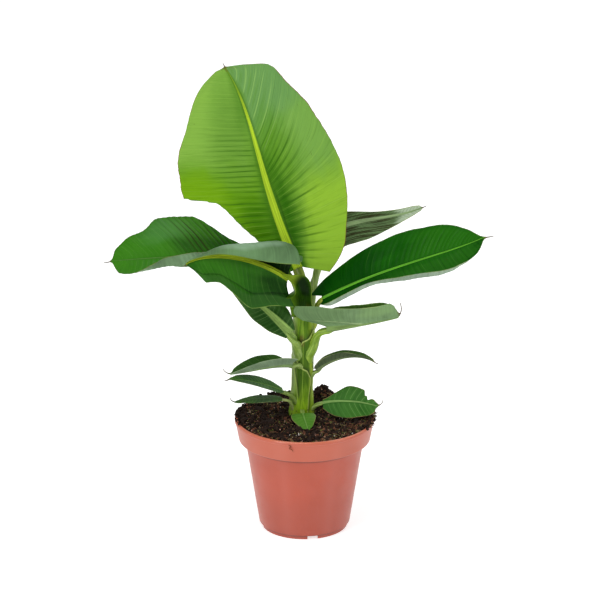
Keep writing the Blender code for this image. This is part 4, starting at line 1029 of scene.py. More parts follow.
def trough_look():
    k = Look("petiole_front_left", 0.42, 0.06)
    sta, lip, across, inside = (k.attr(a) for a in ("sta", "lip", "across", "inside"))
    streak = k.noise(k.place(k.math("MULTIPLY", across, 16.0), k.math("MULTIPLY", sta, 1.2), 4.0), 1.0, 3.0, 0.6)
    out = k.mix(k.range(streak, 0.35, 0.65), lin(66, 106, 12), lin(44, 82, 6))
    # painted shade: the inside of the channel is a darker copy of the outside green
    ins = k.mix(k.range(streak, 0.35, 0.65), lin(42, 80, 6), lin(26, 58, 3))
    # painted light on the inside of the left wall
    ins = k.mix(k.math("MULTIPLY", k.range(across, -0.04, -0.36), 0.85), ins, lin(92, 132, 26))
    # painted shadow deep in the channel
    ins = k.mix(k.math("MULTIPLY", k.math("MULTIPLY", k.range(across, -0.06, 0.1), k.range(across, 0.46, 0.34)), k.math("MULTIPLY", k.range(sta, 0.3, 0.46), k.range(sta, 0.9, 0.74))), ins, lin(12, 36, 3))
    ins = k.mix(k.math("MULTIPLY", k.math("MULTIPLY", k.range(across, 0.1, 0.3), k.range(sta, 0.28, 0.12)), 0.7), ins, lin(96, 92, 24))
    colour = k.mix(inside, out, ins)
    colour = k.mix(k.math("MULTIPLY", k.range(sta, 0.72, 1.0), 0.8), colour, lin(150, 178, 44))
    colour = k.mix(k.math("MULTIPLY", k.range(lip, 0.94, 0.99), 0.55), colour, lin(120, 146, 50))
    fine = k.noise(k.place(k.math("MULTIPLY", across, 60.0), k.math("MULTIPLY", sta, 3.0), 1.0), 1.0, 2.0)
    return k.finish(colour, k.range(streak, 0.3, 0.7, 0.32, 0.48), k.bump(fine, 0.2, 0.0002))


STALKS = {
    "crown": ((140, 158, 40), (112, 134, 26), (44, 76, 10)),
    "back_left": ((150, 170, 92), (112, 138, 62), (76, 104, 38)),
    "right": ((196, 206, 84), (150, 172, 50), (96, 130, 30)),
    "back_right": ((160, 182, 96), (126, 154, 70), (92, 122, 46)),
    "mid_right": ((148, 178, 62), (108, 144, 30), (64, 100, 12)),
    "mid_left": ((146, 172, 84), (110, 142, 50), (68, 104, 22)),
    "low_right": ((150, 172, 88), (110, 138, 58), (76, 106, 36)),
    "low_left": ((150, 172, 92), (112, 140, 62), (76, 106, 38)),
    "lower_left": ((140, 162, 80), (104, 132, 54), (70, 100, 34)),
    "base_left": ((168, 182, 110), (136, 156, 78), (100, 122, 50)),
    "base_right": ((150, 172, 88), (112, 140, 58), (80, 108, 36)),
    "base_front": ((146, 168, 86), (110, 138, 56), (78, 106, 36)),
}

# ------------------------------------------------------------------ pseudostem
STEM_AXIS = ((-4.0, 8.5, 131.0), (-3.6, 8.0, 150.0), (-2.2, 7.0, 185.0), (-1.6, 6.4, 215.0), (-1.4, 6.0, 246.0), (-1.8, 6.0, 281.0))
STEM_RADIUS = (13.5, 15.0, 12.3, 12.6, 13.6, 12.0)
# Margins of the outer sheaths, each a line of (x, z) points on the front followed by the way its sheath lies
# (+1: the raised sheath is on the right of the line), for lines on other sides the turn added to it in degrees, and how
# pale its margin is.
SHEATHS = (
    (((12.0, 262.0), (9.7, 258.9), (5.2, 250.0), (-2.7, 246.0), (-6.7, 237.2), (-7.9, 225.2), (-8.6, 214.0)), 1, 0, 1.0),
    (((-11.0, 224.0), (-4.8, 212.2), (3.0, 206.9), (7.1, 196.2), (7.0, 187.4), (5.0, 172.0), (4.0, 152.0)), -1, 0, 1.0),
    (((-12.2, 226.0), (-11.4, 204.7), (-9.4, 188.0), (-8.0, 170.0)), -1, 0, 0.45),
    (((10.0, 262.0), (4.0, 250.0), (-4.0, 238.0), (-6.0, 214.0), (-4.0, 180.0)), 1, 130, 0.8),
    (((-8.0, 268.0), (-3.0, 244.0), (5.0, 226.0), (7.0, 196.0), (4.0, 160.0)), -1, 235, 0.8),
    (((-6.0, 214.0), (0.0, 198.0), (5.0, 180.0), (6.0, 158.0)), 1, 190, 0.8),
)


def make_stem(look):
    rows, sides = 230, 132
    z0, z1 = 128.0, 284.0
    z = np.concatenate([np.linspace(z0, 276.0, rows - 26), 276.0 + (z1 - 276.0) * np.sin(np.linspace(0, math.pi / 2, 27))[1:]])
    axis_z = [p[2] for p in STEM_AXIS]
    ax = smooth(axis_z, [p[0] for p in STEM_AXIS], z)
    ay = smooth(axis_z, [p[1] for p in STEM_AXIS], z)
    radius = smooth(axis_z, STEM_RADIUS, z)
    close = np.sqrt(np.clip(1 - ((z - 276.0) / (z1 - 276.0)).clip(0, 1) ** 2, 0, 1))
    close = 0.12 + 0.88 * close
    phi = 2 * math.pi * np.arange(sides) / sides  # 0 faces the front, positive towards +X
    lift = np.zeros((rows, sides))
    pale = np.zeros((rows, sides))
    shade = np.zeros((rows, sides))
    for line, way, turn, light in SHEATHS:
        lz = np.array([p[1] for p in line])[::-1]
        lx = np.array([p[0] for p in line])[::-1]
        lax, lr = smooth(axis_z, [p[0] for p in STEM_AXIS], lz), smooth(axis_z, STEM_RADIUS, lz)
        la = np.arcsin(np.clip((lx - lax) / lr, -0.98, 0.98)) + math.radians(turn)
        here = np.interp(z, lz, la)
        inside = step(lz[0] - 6, lz[0] + 6, z) * (1 - step(lz[-1] - 3, lz[-1] + 3, z))
        d = (np.mod(phi[None, :] - here[:, None] + math.pi, 2 * math.pi) - math.pi) * radius[:, None] * way
        slope = np.gradient(here, z) * radius
        d = d / np.sqrt(1 + slope[:, None] ** 2)
        raised = step(-0.35, 0.35, d) * (1 - step(2.0, 22.0, d))
        lift += 0.75 * raised * inside[:, None]
        lift -= 0.2 * np.exp(-(((d + 0.7) / 0.6) ** 2)) * inside[:, None]
        pale = np.maximum(pale, light * np.exp(-(((d - 0.35) / 0.55) ** 2)) * inside[:, None])
        shade = np.maximum(shade, (np.exp(-(((d + 1.0) / 0.9) ** 2)) + 0.5 * np.exp(-(((d + 2.6) / 2.6) ** 2))).clip(0, 1) * inside[:, None])
    a, b = phi[None, :] / (2 * math.pi) * 24, z[:, None]
    wrap = 0.5 - 0.5 * np.cos(phi)[None, :]
    ribs = 0.07 * np.sin(15 * phi + 1.3)[None, :] + 0.04 * np.sin(26 * phi + 0.5)[None, :] * (0.6 + 0.4 * np.sin(b / 17.0))
    ribs = ribs + 0.35 * rough(np.sin(phi)[None, :] * 3 + 4, b / 20.0 + np.cos(phi)[None, :] * 2, 71, 2)
    r = (radius[:, None] + (lift + ribs) * close[:, None]) * close[:, None]
    flare = 1 + 0.05 * np.exp(-((z - 146) / 5.0) ** 2)
    r = r * flare[:, None]
    x = ax[:, None] + r * np.sin(phi)[None, :]
    y = ay[:, None] - r * 0.94 * np.cos(phi)[None, :]
    rings = np.stack([x, y, np.repeat(z[:, None], sides, 1)], -1)
    verts, quads, tris = tube_mesh(settle(rings))
    pad = [0, 0]
    return build(
        "stem_skin", verts, quads, look, ["pseudostem"],
        {
            "turn": np.concatenate([np.tile(phi, rows), pad]),
            "high": np.concatenate([np.repeat(z, sides), pad]),
            "pale": np.concatenate([pale.ravel(), pad]),
            "shade": np.concatenate([shade.ravel(), pad]),
        },
        tris=tris,
    )


def stem_look():
    k = Look("stem_skin", 0.42, 0.12)
    turn, high, pale, shade = (k.attr(a) for a in ("turn", "high", "pale", "shade"))
    sn, cs = k.math("SINE", turn), k.math("COSINE", turn)
    lo = k.place(k.math("MULTIPLY", sn, 2.2), k.math("MULTIPLY", cs, 2.2), k.math("MULTIPLY", high, 0.035))
    hi = k.place(k.math("MULTIPLY", sn, 9.0), k.math("MULTIPLY", cs, 9.0), k.math("MULTIPLY", high, 0.05))
    a, b = k.noise(lo, 1.0, 3.0, 0.55), k.noise(hi, 1.0, 3.0, 0.6)
    colour = k.mix(k.range(a, 0.36, 0.62), lin(112, 148, 32), lin(80, 118, 14))
    colour = k.mix(k.math("MULTIPLY", k.range(b, 0.47, 0.64), 0.5), colour, lin(46, 80, 6))
    colour = k.mix(k.math("MULTIPLY", k.range(b, 0.42, 0.3), 0.35), colour, lin(146, 178, 58))
    # painted light: the right and left edges of the stem are lighter, as if lit from both sides
    colour = k.mix(k.math("MULTIPLY", k.range(sn, 0.42, 0.82), 0.85), colour, lin(166, 192, 64))
    colour = k.mix(k.math("MULTIPLY", k.range(sn, -0.42, -0.82), 0.75), colour, lin(152, 178, 92))
    # the middle of the front is darker, painted shade between the two lit edges; the foot is paler
    front = k.math("MULTIPLY", k.range(cs, 0.68, 0.95), k.math("MULTIPLY", k.range(high, 176, 200), k.range(high, 262, 240)))
    colour = k.mix(k.math("MULTIPLY", front, 0.8), colour, lin(54, 88, 10))
    colour = k.mix(k.math("MULTIPLY", k.range(high, 190, 156), 0.75), colour, k.mix(k.range(b, 0.4, 0.6), lin(136, 172, 26), lin(108, 146, 10)))
    scar = k.math("MULTIPLY", k.math("MULTIPLY", k.range(sn, -0.42, -0.22), k.range(sn, 0.16, 0.0)), k.math("MULTIPLY", k.range(high, 237, 244), k.range(high, 258, 251)))
    colour = k.mix(k.math("MULTIPLY", k.math("MULTIPLY", scar, k.range(cs, 0.0, 0.3)), 0.7), colour, lin(86, 58, 26))
    colour = k.mix(k.math("MULTIPLY", shade, 0.8), colour, lin(34, 54, 10))
    colour = k.mix(k.math("MULTIPLY", pale, 0.9), colour, lin(190, 208, 116))
    spots = k.noise(k.place(k.math("MULTIPLY", sn, 3.2), k.math("MULTIPLY", cs, 3.2), k.math("MULTIPLY", high, 0.22)), 1.0, 4.0, 0.6)
    low = k.range(high, 172, 150)
    colour = k.mix(k.math("MULTIPLY", k.range(spots, 0.56, 0.66), k.math("MULTIPLY", low, 0.9)), colour, lin(58, 40, 20))
    colour = k.mix(k.math("MULTIPLY", k.range(spots, 0.66, 0.72), 0.85), colour, lin(44, 36, 16))
    return k.finish(colour, k.range(b, 0.3, 0.7, 0.36, 0.5), k.bump(b, 0.2, 0.0003))


# ------------------------------------------------------------------ potting mix
SOIL_EDGE, SOIL_CROWN = 136.5, 138.5
HEAP_AT, HEAP_RISE, HEAP_RADIUS = (22.0, 60.0), 15.5, 14.0


def soil_height(x, y):
    r = np.hypot(x, y)
    z = SOIL_EDGE + (SOIL_CROWN - SOIL_EDGE) * (0.5 + 0.5 * np.cos(math.pi * np.minimum(r / 78.0, 1))) ** 0.8
    z = z + HEAP_RISE * np.exp(-((x - HEAP_AT[0]) ** 2 + (y - HEAP_AT[1]) ** 2) / HEAP_RADIUS**2)
    return z + 1.1 * np.sin(0.16 * x + 1) * np.cos(0.19 * y) + 0.8 * np.sin(0.31 * x - 0.27 * y)


def soil_relief(x, y):
    lumps = 2.4 * rough(x / 8.0, y / 8.0, 201, 2) + 1.2 * rough(x / 3.2, y / 3.2, 207, 2)
    return lumps + 0.7 * np.abs(rough(x / 1.3, y / 1.3, 213, 2))


def make_soil(look):
    sides = 240
    phi = 2 * math.pi * np.arange(sides) / sides
    wall = ((3.0, 6.3), (51.6, 6.3), (60.5, 57.0), (69.5, 108.0), (70.7, 112.9), (77.0, 115.6), (78.4, 127.0), (79.3, 134.2))
    rings = [np.stack([r * np.cos(phi), r * np.sin(phi), np.full(sides, z)], -1) for r, z in wall]
    for r in np.concatenate([[79.4, 78.6], np.linspace(77.6, 2.0, 84)]):
        x, y = r * np.cos(phi), r * np.sin(phi)
        z = soil_height(x, y) + soil_relief(x, y) * min(1.0, (80.2 - r) / 3.0) - (0.5 if r > 79 else 0.0)
        rings.append(np.stack([x, y, z], -1))
    rings = np.array(rings)
    verts, quads, tris = tube_mesh(rings)
    return build("mix_bed", verts, quads, look, ["soil"], tris=tris)


def mix_look(name, a, b, c, scale=260.0):
    k = Look(name, 0.85, 0.2)
    at = k.position()
    n1, n2 = k.noise(at, scale, 4.0, 0.6), k.noise(at, scale * 3.1, 3.0, 0.6)
    colour = k.mix(k.range(n1, 0.35, 0.62), lin(*a), lin(*b))
    colour = k.mix(k.range(n2, 0.5, 0.68), colour, lin(*c))
    return k.finish(colour, k.range(n2, 0.3, 0.7, 0.75, 0.95), k.bump(n2, 0.6, 0.0006))


ICO_T = (1 + 5**0.5) / 2
ICO_V = unit(np.array([(-1, ICO_T, 0), (1, ICO_T, 0), (-1, -ICO_T, 0), (1, -ICO_T, 0), (0, -1, ICO_T), (0, 1, ICO_T), (0, -1, -ICO_T), (0, 1, -ICO_T), (ICO_T, 0, -1), (ICO_T, 0, 1), (-ICO_T, 0, -1), (-ICO_T, 0, 1)], float))
ICO_F = np.array([(0, 11, 5), (0, 5, 1), (0, 1, 7), (0, 7, 10), (0, 10, 11), (1, 5, 9), (5, 11, 4), (11, 10, 2), (10, 7, 6), (7, 1, 8), (3, 9, 4), (3, 4, 2), (3, 2, 6), (3, 6, 8), (3, 8, 9), (4, 9, 5), (2, 4, 11), (6, 2, 10), (8, 6, 7), (9, 8, 1)])


def finer(v, f):
    """Each triangle of a ball split in four."""
    index, verts = {}, [tuple(p) for p in v]
    out = []
    for a, b, c in f:
        mids = []
        for p, q in ((a, b), (b, c), (c, a)):
            key = (min(p, q), max(p, q))
            if key not in index:
                index[key] = len(verts)
                m = (np.array(verts[p]) + np.array(verts[q])) / 2
                verts.append(tuple(m / np.linalg.norm(m)))
            mids.append(index[key])
        ab, bc, ca = mids
        out += [(a, ab, ca), (b, bc, ab), (c, ca, bc), (ab, bc, ca)]
    return np.array(verts), np.array(out)


BALL_V, BALL_F = finer(ICO_V, ICO_F)


def spin(rng, count):
    q = rng.normal(size=(count, 4))
    q /= np.linalg.norm(q, axis=1, keepdims=True)
    w, x, y, z = q.T
    return np.stack([
        np.stack([1 - 2 * (y * y + z * z), 2 * (x * y - z * w), 2 * (x * z + y * w)], -1),
        np.stack([2 * (x * y + z * w), 1 - 2 * (x * x + z * z), 2 * (y * z - x * w)], -1),
        np.stack([2 * (x * z - y * w), 2 * (y * z + x * w), 1 - 2 * (x * x + y * y)], -1),
    ], -2)


def clods(name, look, at, size, squash, seed, fine=False, lump=0.28):
    """Closed rough lumps at the points `at` (N, 3), joined into one piece."""
    rng = np.random.default_rng(seed)
    v, f = (BALL_V, BALL_F) if fine else (ICO_V, ICO_F)
    n = len(at)
    turn = spin(rng, n)
    scale = size[:, None] * (1 + squash[None, :] * rng.uniform(-1, 1, (n, 3)))
    jag = 1 + lump * rng.uniform(-1, 1, (n, len(v), 1))
    p = v[None] * jag * scale[:, None]
    p = np.einsum("nij,nkj->nki", turn, p) + at[:, None]
    faces = f[None] + (np.arange(n) * len(v))[:, None, None]
    return build(name, p.reshape(-1, 3), None, look, (), tris=faces.reshape(-1, 3), smooth_shade=False)


def on_soil(rng, count, r_max=77.5, clear=14.5):
    pts = np.empty((0, 2))
    while len(pts) < count:
        r = r_max * np.sqrt(rng.uniform(0, 1, count))
        a = rng.uniform(0, 2 * math.pi, count)
        p = np.stack([r * np.cos(a), r * np.sin(a)], -1)
        keep = np.hypot(p[:, 0] + 4, p[:, 1] - 8) > clear
        pts = np.vstack([pts, p[keep]])
    return pts[:count]


def resting(p, size, sink=0.35):
    z = soil_height(p[:, 0], p[:, 1]) + soil_relief(p[:, 0], p[:, 1])
    return np.stack([p[:, 0], p[:, 1], z + size * sink], -1)


def litter(name, look, count, low, high, squash, seed, fine=False, sink=0.35, extra=None):
    rng = np.random.default_rng(seed)
    size = low + (high - low) * rng.uniform(0, 1, count) ** 2.2
    p = on_soil(rng, count)
    r = np.hypot(p[:, 0], p[:, 1])
    limit = 80.6 - size * 1.35
    p = p * np.minimum(1, limit / np.maximum(r, 1e-6))[:, None]
    at = resting(p, size, sink)
    if extra is not None:
        at = np.vstack([at, extra[0]])
        size = np.concatenate([size, extra[1]])
    return clods(name, look, at, size, np.array(squash), seed + 1, fine)


def fibres(name, look, count, seed, lengths=(5, 18), thick=(0.14, 0.3), starts=None):
    rng = np.random.default_rng(seed)
    p = on_soil(rng, count, 74.0, 16.0) if starts is None else starts
    pieces_v, pieces_q, pieces_t, base = [], [], [], 0
    for i in range(len(p)):
        length = rng.uniform(*lengths)
        n = 9
        yaw, bend = rng.uniform(0, 2 * math.pi), rng.uniform(-1.4, 1.4)
        s = np.linspace(0, 1, n)
        ang = yaw + bend * s
        x = p[i, 0] + np.cumsum(np.cos(ang)) * length / n
        y = p[i, 1] + np.cumsum(np.sin(ang)) * length / n
        r = np.hypot(x, y)
        k = np.minimum(1, 77.5 / np.maximum(r, 1e-6))
        x, y = x * k, y * k
        z = soil_height(x, y) + soil_relief(x, y) + 0.5 + rng.uniform(0, 2.2) * np.sin(math.pi * s) * rng.uniform(0.2, 1.0)
        path = np.stack([x, y, z], -1)
        t, up, side = carried_frames(path, vec(0, 0, 1))
        w = rng.uniform(*thick) * (1 - 0.6 * np.abs(2 * s - 1) ** 3)
        a = 2 * math.pi * np.arange(5) / 5
        rings = path[:, None] + w[:, None, None] * (np.cos(a)[None, :, None] * up[:, None] + np.sin(a)[None, :, None] * side[:, None])
        v, q, tr = tube_mesh(rings[:, ::-1])
        pieces_v.append(v), pieces_q.append(q + base), pieces_t.append(tr + base)
        base += len(v)
    return build(name, np.vstack(pieces_v), np.vstack(pieces_q), look, (), tris=np.vstack(pieces_t))


def rim_crumbs(seed, a0, a1, count, low, high, reach=85.5, heap=1.5):
    """Crumbs that lie on the rim and just inside it between two directions in degrees, thickest in the middle."""
    rng = np.random.default_rng(seed)
    u = rng.uniform(-1, 1, count)
    a = np.radians((a0 + a1) / 2 + (a1 - a0) / 2 * u)
    size = rng.uniform(low, high, count)
    r = rng.uniform(76.0, reach, count)
    z = np.where(r > 80.5, 139.0, 137.0) + size * 0.5 + rng.uniform(0, heap, count) * (1 - u * u)
    return np.stack([r * np.cos(a), r * np.sin(a), z], -1), size


def strands(name, look, count, seed, lengths, thick, on_rim=None, rise=1.6, lie=0.5):
    """Short stiff strands that lie on the mix at all angles, joined into one piece."""
    rng = np.random.default_rng(seed)
    p = on_soil(rng, count, 79.0, 15.5)
    z = soil_height(p[:, 0], p[:, 1]) + soil_relief(p[:, 0], p[:, 1]) + rng.uniform(0.0, rise, count)
    at = np.stack([p[:, 0], p[:, 1], z], -1)
    if on_rim is not None:
        at = np.vstack([at, on_rim])
    n = len(at)
    length = rng.uniform(*lengths, n)
    yaw, tilt = rng.uniform(0, 2 * math.pi, n), rng.normal(0, lie, n)
    d = np.stack([np.cos(tilt) * np.cos(yaw), np.cos(tilt) * np.sin(yaw), np.sin(tilt)], -1)
    bow = rng.normal(0, 0.14, (n, 3)) * length[:, None]
    s = np.linspace(-0.5, 0.5, 6)
    path = at[:, None] + d[:, None] * (s[None, :, None] * length[:, None, None]) + bow[:, None] * (0.25 - s[None, :, None] ** 2) * 2
    r = np.hypot(path[..., 0], path[..., 1])
    side = unit(np.cross(d, vec(0.13, 0.21, 1.0)))
    up = np.cross(side, d)
    w = rng.uniform(*thick, n)[:, None] * (1 - 0.75 * np.abs(2 * s[None, :]) ** 3)
    ang = 2 * math.pi * np.arange(4) / 4
    ring = path[:, :, None] + w[..., None, None] * (np.cos(ang)[None, None, :, None] * side[:, None, None] + np.sin(ang)[None, None, :, None] * up[:, None, None])
    k = ring.shape[1] * 4
    verts = ring.reshape(n, k, 3)
    verts = np.concatenate([verts, path[:, :1], path[:, -1:]], 1)
    q = grid_quads(6, 4, wrap=True)
    j = np.arange(4)
    t = np.concatenate([np.stack([(j + 1) % 4, j, np.full(4, k)], -1), np.stack([20 + j, 20 + (j + 1) % 4, np.full(4, k + 1)], -1)])
    base = (np.arange(n) * (k + 2))[:, None, None]
    # the rings run along d with side, up turning the left way round, so the faces are flipped to look outward
    quads = (q[None] + base).reshape(-1, 4)[:, ::-1]
    tris = (t[None] + base).reshape(-1, 3)[:, ::-1]
    return build(name, verts.reshape(-1, 3), quads, look, (), tris=tris)


def make_litter():
    dark = mix_look("mix_dark", (12, 6, 4), (36, 22, 14), (70, 46, 33), 420)
    bark = mix_look("mix_bark", (88, 50, 35), (130, 86, 62), (52, 30, 20), 380)
    pink = mix_look("mix_pink", (176, 128, 112), (212, 174, 158), (126, 82, 68), 380)
    grain = mix_look("mix_grain", (222, 218, 208), (236, 233, 226), (160, 150, 132), 380)
    moss = mix_look("mix_olive", (84, 88, 36), (128, 128, 66), (44, 46, 18), 380)
    straw = mix_look("mix_straw", (186, 168, 116), (146, 122, 78), (210, 196, 152), 300)
    squash = (0.4, 0.4, 0.4)
    right, left, rear = rim_crumbs(302, -30, 24, 150, 0.6, 2.0, 86.2, 3.2), rim_crumbs(304, 168, 204, 90, 0.5, 1.6, 84.6, 1.8), rim_crumbs(306, 84, 176, 420, 0.6, 2.2, 84.4, 3.0)
    edge = (np.vstack([right[0], left[0], rear[0]]), np.concatenate([right[1], left[1], rear[1]]))
    litter("crumbs_dark", dark, 1500, 0.8, 3.2, squash, 301, extra=edge)
    litter("crumbs_big", dark, 300, 2.2, 5.0, squash, 311, fine=True, sink=0.05)
    litter("crumbs_bark", bark, 1500, 0.5, 2.2, (0.6, 0.6, 0.6), 321, extra=rim_crumbs(322, -26, 20, 60, 0.4, 1.3, 85.6, 4.0))
    litter("crumbs_pink", pink, 640, 0.4, 1.4, squash, 331, extra=rim_crumbs(332, -26, 20, 16, 0.3, 0.9, 85.6, 4.0))
    litter("crumbs_white", grain, 300, 0.4, 1.25, squash, 341)
    litter("crumbs_olive", moss, 560, 0.5, 2.0, squash, 351)
    strands("strands_bark", bark, 800, 361, (3, 11), (0.25, 0.6), rim_crumbs(362, -26, 18, 50, 1, 1, 86.0, 5.0)[0])
    strands("strands_olive", moss, 420, 363, (3, 9), (0.22, 0.5), rim_crumbs(364, -24, 16, 24, 1, 1, 86.0, 5.0)[0])
    strands("strands_straw", straw, 420, 365, (3, 10), (0.18, 0.38), rim_crumbs(366, -24, 16, 20, 1, 1, 86.0, 5.0)[0])
    strands("strands_dark", dark, 500, 367, (4, 13), (0.25, 0.6), rim_crumbs(368, -28, 20, 50, 1, 1, 86.6, 5.0)[0])
    strands("strands_pink", pink, 260, 369, (2, 6), (0.2, 0.45))
    # one fibre has slipped over the rim and clings to its front
    s = np.linspace(0, 1, 28)
    x = smooth((0, 0.3, 0.55, 0.8, 1), (-19.5, -16.5, -18.2, -14.6, -13.8), s)
    z = smooth((0, 0.3, 0.55, 0.8, 1), (136.0, 134.4, 131.2, 129.6, 126.8), s)
    path = np.stack([x, -np.sqrt((85.35 - (138 - z) * 0.06) ** 2 - x**2), z], -1)
    _, up, side = carried_frames(path, vec(0, 0, 1))
    a = 2 * math.pi * np.arange(6) / 6
    w = 0.55 * (1 - 0.7 * np.abs(2 * s - 1) ** 3)
    rings = path[:, None] + w[:, None, None] * (np.cos(a)[None, :, None] * up[:, None] + np.sin(a)[None, :, None] * side[:, None])
    v, q, t = tube_mesh(rings[:, ::-1])
    build("strand_rim", v, q, mix_look("mix_fibre", (120, 62, 40), (150, 84, 58), (88, 44, 28), 380), (), tris=t)


# ------------------------------------------------------------------ pot
POT_OUTER = ((81.4, 139.0, 0.8), (84.3, 139.0, 1.0), (85.0, 138.0, 0.6), (84.9, 135.4, 0.5), (84.0, 134.7, 0.3), (80.0, 113.2, 0.5),
             (79.2, 112.2, 0.4), (72.0, 110.6, 0.6), (55.5, 5.8, 0.4), (53.2, 5.1, 0.3), (52.5, 0.0, 0.4), (49.5, 0.0, 0.4), (48.7, 4.0, 0.6),
             (12.5, 4.0, 0.6), (11.0, 0.0, 0.4), (0.05, 0.0, 0))
POT_INNER = ((0.05, 6.0, 0), (51.9, 6.0, 1.2), (70.0, 109.0, 1.0), (71.2, 112.6, 0.8), (77.3, 115.0, 0.8), (80.4, 135.0, 0.8))
NOTCHES, NOTCH_WIDTH, FIRST_NOTCH = 4, 13.0, 281.0


def rounded(profile, steps=4):
    """Profile (r, z, radius) with each corner turned into a small arc, closed round."""
    pts = [np.array(p[:2], float) for p in profile]
    out = []
    n = len(pts)
    for i in range(n):
        p, rad = pts[i], profile[i][2]
        if rad <= 0:
            out.append(p)
            continue
        a, b = unit(pts[i - 1] - p), unit(pts[(i + 1) % n] - p)
        angle = math.acos(float(np.clip(np.dot(a, b), -1, 1)))
        room = 0.45 * min(np.linalg.norm(pts[i - 1] - p), np.linalg.norm(pts[(i + 1) % n] - p))
        cut = min(rad / math.tan(angle / 2), room)
        r = cut * math.tan(angle / 2)
        mid = unit(a + b) * (r / math.sin(angle / 2))
        c = p + mid
        p0, p1 = p + a * cut, p + b * cut
        for k in range(steps + 1):
            q = p0 * (1 - k / steps) + p1 * (k / steps) - c
            out.append(c + unit(q) * r)
    return out


def pot_rings(profile):
    """Profile points with long straight runs split so that the shading stays even."""
    out = []
    n = len(profile)
    for i in range(n - 1):
        p, q = profile[i], profile[i + 1]
        out.append(p)
        length = np.linalg.norm(q - p)
        k = int(length // 14.0)
        for j in range(k):
            out.append(p + (q - p) * (j + 1) / (k + 1))
    out.append(profile[-1])
    return out


def make_pot(look):
    sides = 192
    shape = rounded(list(POT_OUTER) + list(POT_INNER))
    ring = pot_rings(shape)
    # open the loop at the axis: it runs from the hub under the pot round to the hub inside it
    start = max(range(len(ring)), key=lambda i: -ring[i][0] * 1000 - ring[i][1] * 0)
    profile = np.array(ring)
    k = int(np.argmin(profile[:, 0] + (profile[:, 1] < 3) * 10))
    profile = np.roll(profile, -k, axis=0)
    phi = 2 * math.pi * np.arange(sides) / sides
    rings = np.stack([
        profile[:, 0, None] * np.cos(phi)[None, :],
        profile[:, 0, None] * np.sin(phi)[None, :],
        np.repeat(profile[:, 1, None], sides, 1),
    ], -1)
    verts, quads, tris = tube_mesh(rings)
    ob = build("pot_body", verts, quads, look, (), tris=tris)
    bm = bmesh.new()
    bm.from_mesh(ob.data)
    bmesh.ops.recalc_face_normals(bm, faces=bm.faces)
    bm.to_mesh(ob.data)
    bm.free()
    cutters = bpy.data.meshes.new("cutters")
    cv, cf = [], []
    for i in range(NOTCHES):
        a = math.radians(FIRST_NOTCH + 360.0 * i / NOTCHES)
        ex, ey = vec(math.cos(a), math.sin(a), 0), vec(-math.sin(a), math.cos(a), 0)
        c = ex * 51.0 + vec(0, 0, 1.6)
        base = len(cv)
        for sz in (-2.6, 2.6):
            for sx, sy in ((-8.5, -6.5), (8.5, -6.5), (8.5, 6.5), (-8.5, 6.5)):
                cv.append(tuple((c + ex * sx + ey * sy + vec(0, 0, sz)) * MM))
        cf += [tuple(base + j for j in f) for f in ((3, 2, 1, 0), (4, 5, 6, 7), (0, 1, 5, 4), (1, 2, 6, 5), (2, 3, 7, 6), (3, 0, 4, 7))]
    cutters.from_pydata(cv, [], cf)
    tool = bpy.data.objects.new("cutters", cutters)
    bpy.context.scene.collection.objects.link(tool)
    cut = ob.modifiers.new("notches", "BOOLEAN")
    cut.object, cut.operation, cut.solver = tool, "DIFFERENCE", "EXACT"
    graph = bpy.context.evaluated_depsgraph_get()
    mesh = bpy.data.meshes.new_from_object(ob.evaluated_get(graph))
    ob.modifiers.clear()
    ob.data = mesh
    bpy.data.objects.remove(tool)
    if hasattr(mesh, "set_sharp_from_angle"):
        mesh.polygons.foreach_set("use_smooth", np.full(len(mesh.polygons), True))
        mesh.set_sharp_from_angle(angle=math.radians(32))
    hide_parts("pot")
    return ob


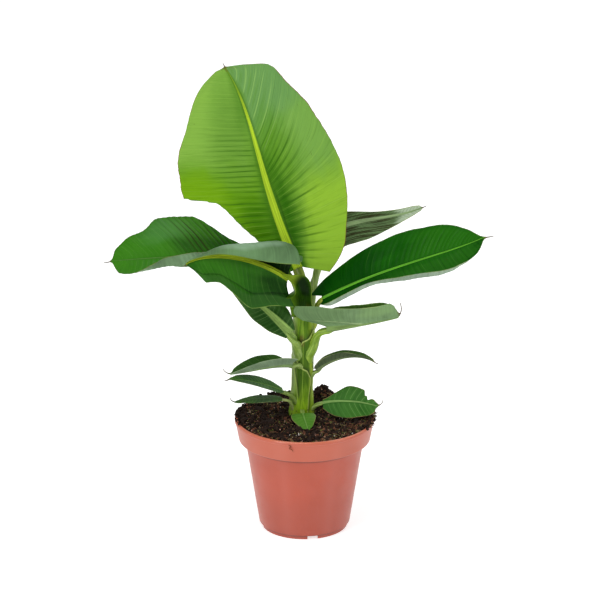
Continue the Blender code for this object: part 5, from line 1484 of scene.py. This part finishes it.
def pot_look():
    k = Look("pot_body", 0.45, 0.75)
    at = k.position()
    cloud = k.noise(at, 9.0, 3.0, 0.5)
    grain = k.noise(at, 900.0, 2.0, 0.6)
    scuff = k.noise(at, 60.0, 5.0, 0.65)
    split = k.node("ShaderNodeSeparateXYZ")
    k.wire(at, split.inputs[0])
    tall = split.outputs["Z"]
    # the band is lighter than the wall and the wall darkens towards the foot: painted light and shade by height
    wall = k.mix(k.range(cloud, 0.35, 0.65), lin(177, 69, 41), lin(166, 64, 38))
    band = k.mix(k.range(cloud, 0.35, 0.65), lin(185, 86, 58), lin(176, 80, 53))
    # painted highlight: a lighter line along the top of the lip
    band = k.mix(k.range(tall, 0.1378, 0.1386), band, lin(206, 108, 76))
    colour = k.mix(k.range(tall, 0.1115, 0.1125), k.mix(k.range(tall, 0.07, 0.012, 0.0, 0.45), wall, lin(158, 62, 38)), band)
    colour = k.mix(k.math("MULTIPLY", k.range(scuff, 0.6, 0.8), 0.25), colour, lin(192, 100, 72))
    # painted shadow: a darker line under the band's overhang and above the foot ring
    under = k.math("MULTIPLY", k.range(tall, 0.1066, 0.1086), k.range(tall, 0.1128, 0.1122))
    foot = k.math("MULTIPLY", k.range(tall, 0.0064, 0.0052), k.range(tall, 0.0026, 0.0040))
    colour = k.mix(k.math("MULTIPLY", k.math("MAXIMUM", under, foot), 0.7), colour, lin(112, 46, 32))
    # the moulded wall is polished round the pot, so gleams stretch up and down it
    k.bsdf.inputs["Anisotropic"].default_value = 0.9
    k.bsdf.inputs["Anisotropic Rotation"].default_value = 0.25
    turn = k.node("ShaderNodeTangent", direction_type="RADIAL", axis="Z")
    k.tree.links.new(turn.outputs["Tangent"], k.bsdf.inputs["Tangent"])
    return k.finish(colour, k.range(scuff, 0.3, 0.75, 0.34, 0.43), k.bump(grain, 0.05, 0.0002))


# ------------------------------------------------------------------ assembly
make_camera()
make_stage()
for name, leaf in LEAVES.items():
    leaf.update(SPEC[name])
    make_blade(name, leaf, blade_look(name, leaf))
    if "trough" in leaf:
        make_trough(name, leaf, trough_look())
    else:
        make_stalk(name, leaf, stalk_look(name, *STALKS[name]))
make_stem(stem_look())
make_soil(mix_look("mix_bed", (8, 4, 2), (26, 17, 11), (50, 36, 25)))
make_litter()
make_pot(pot_look())
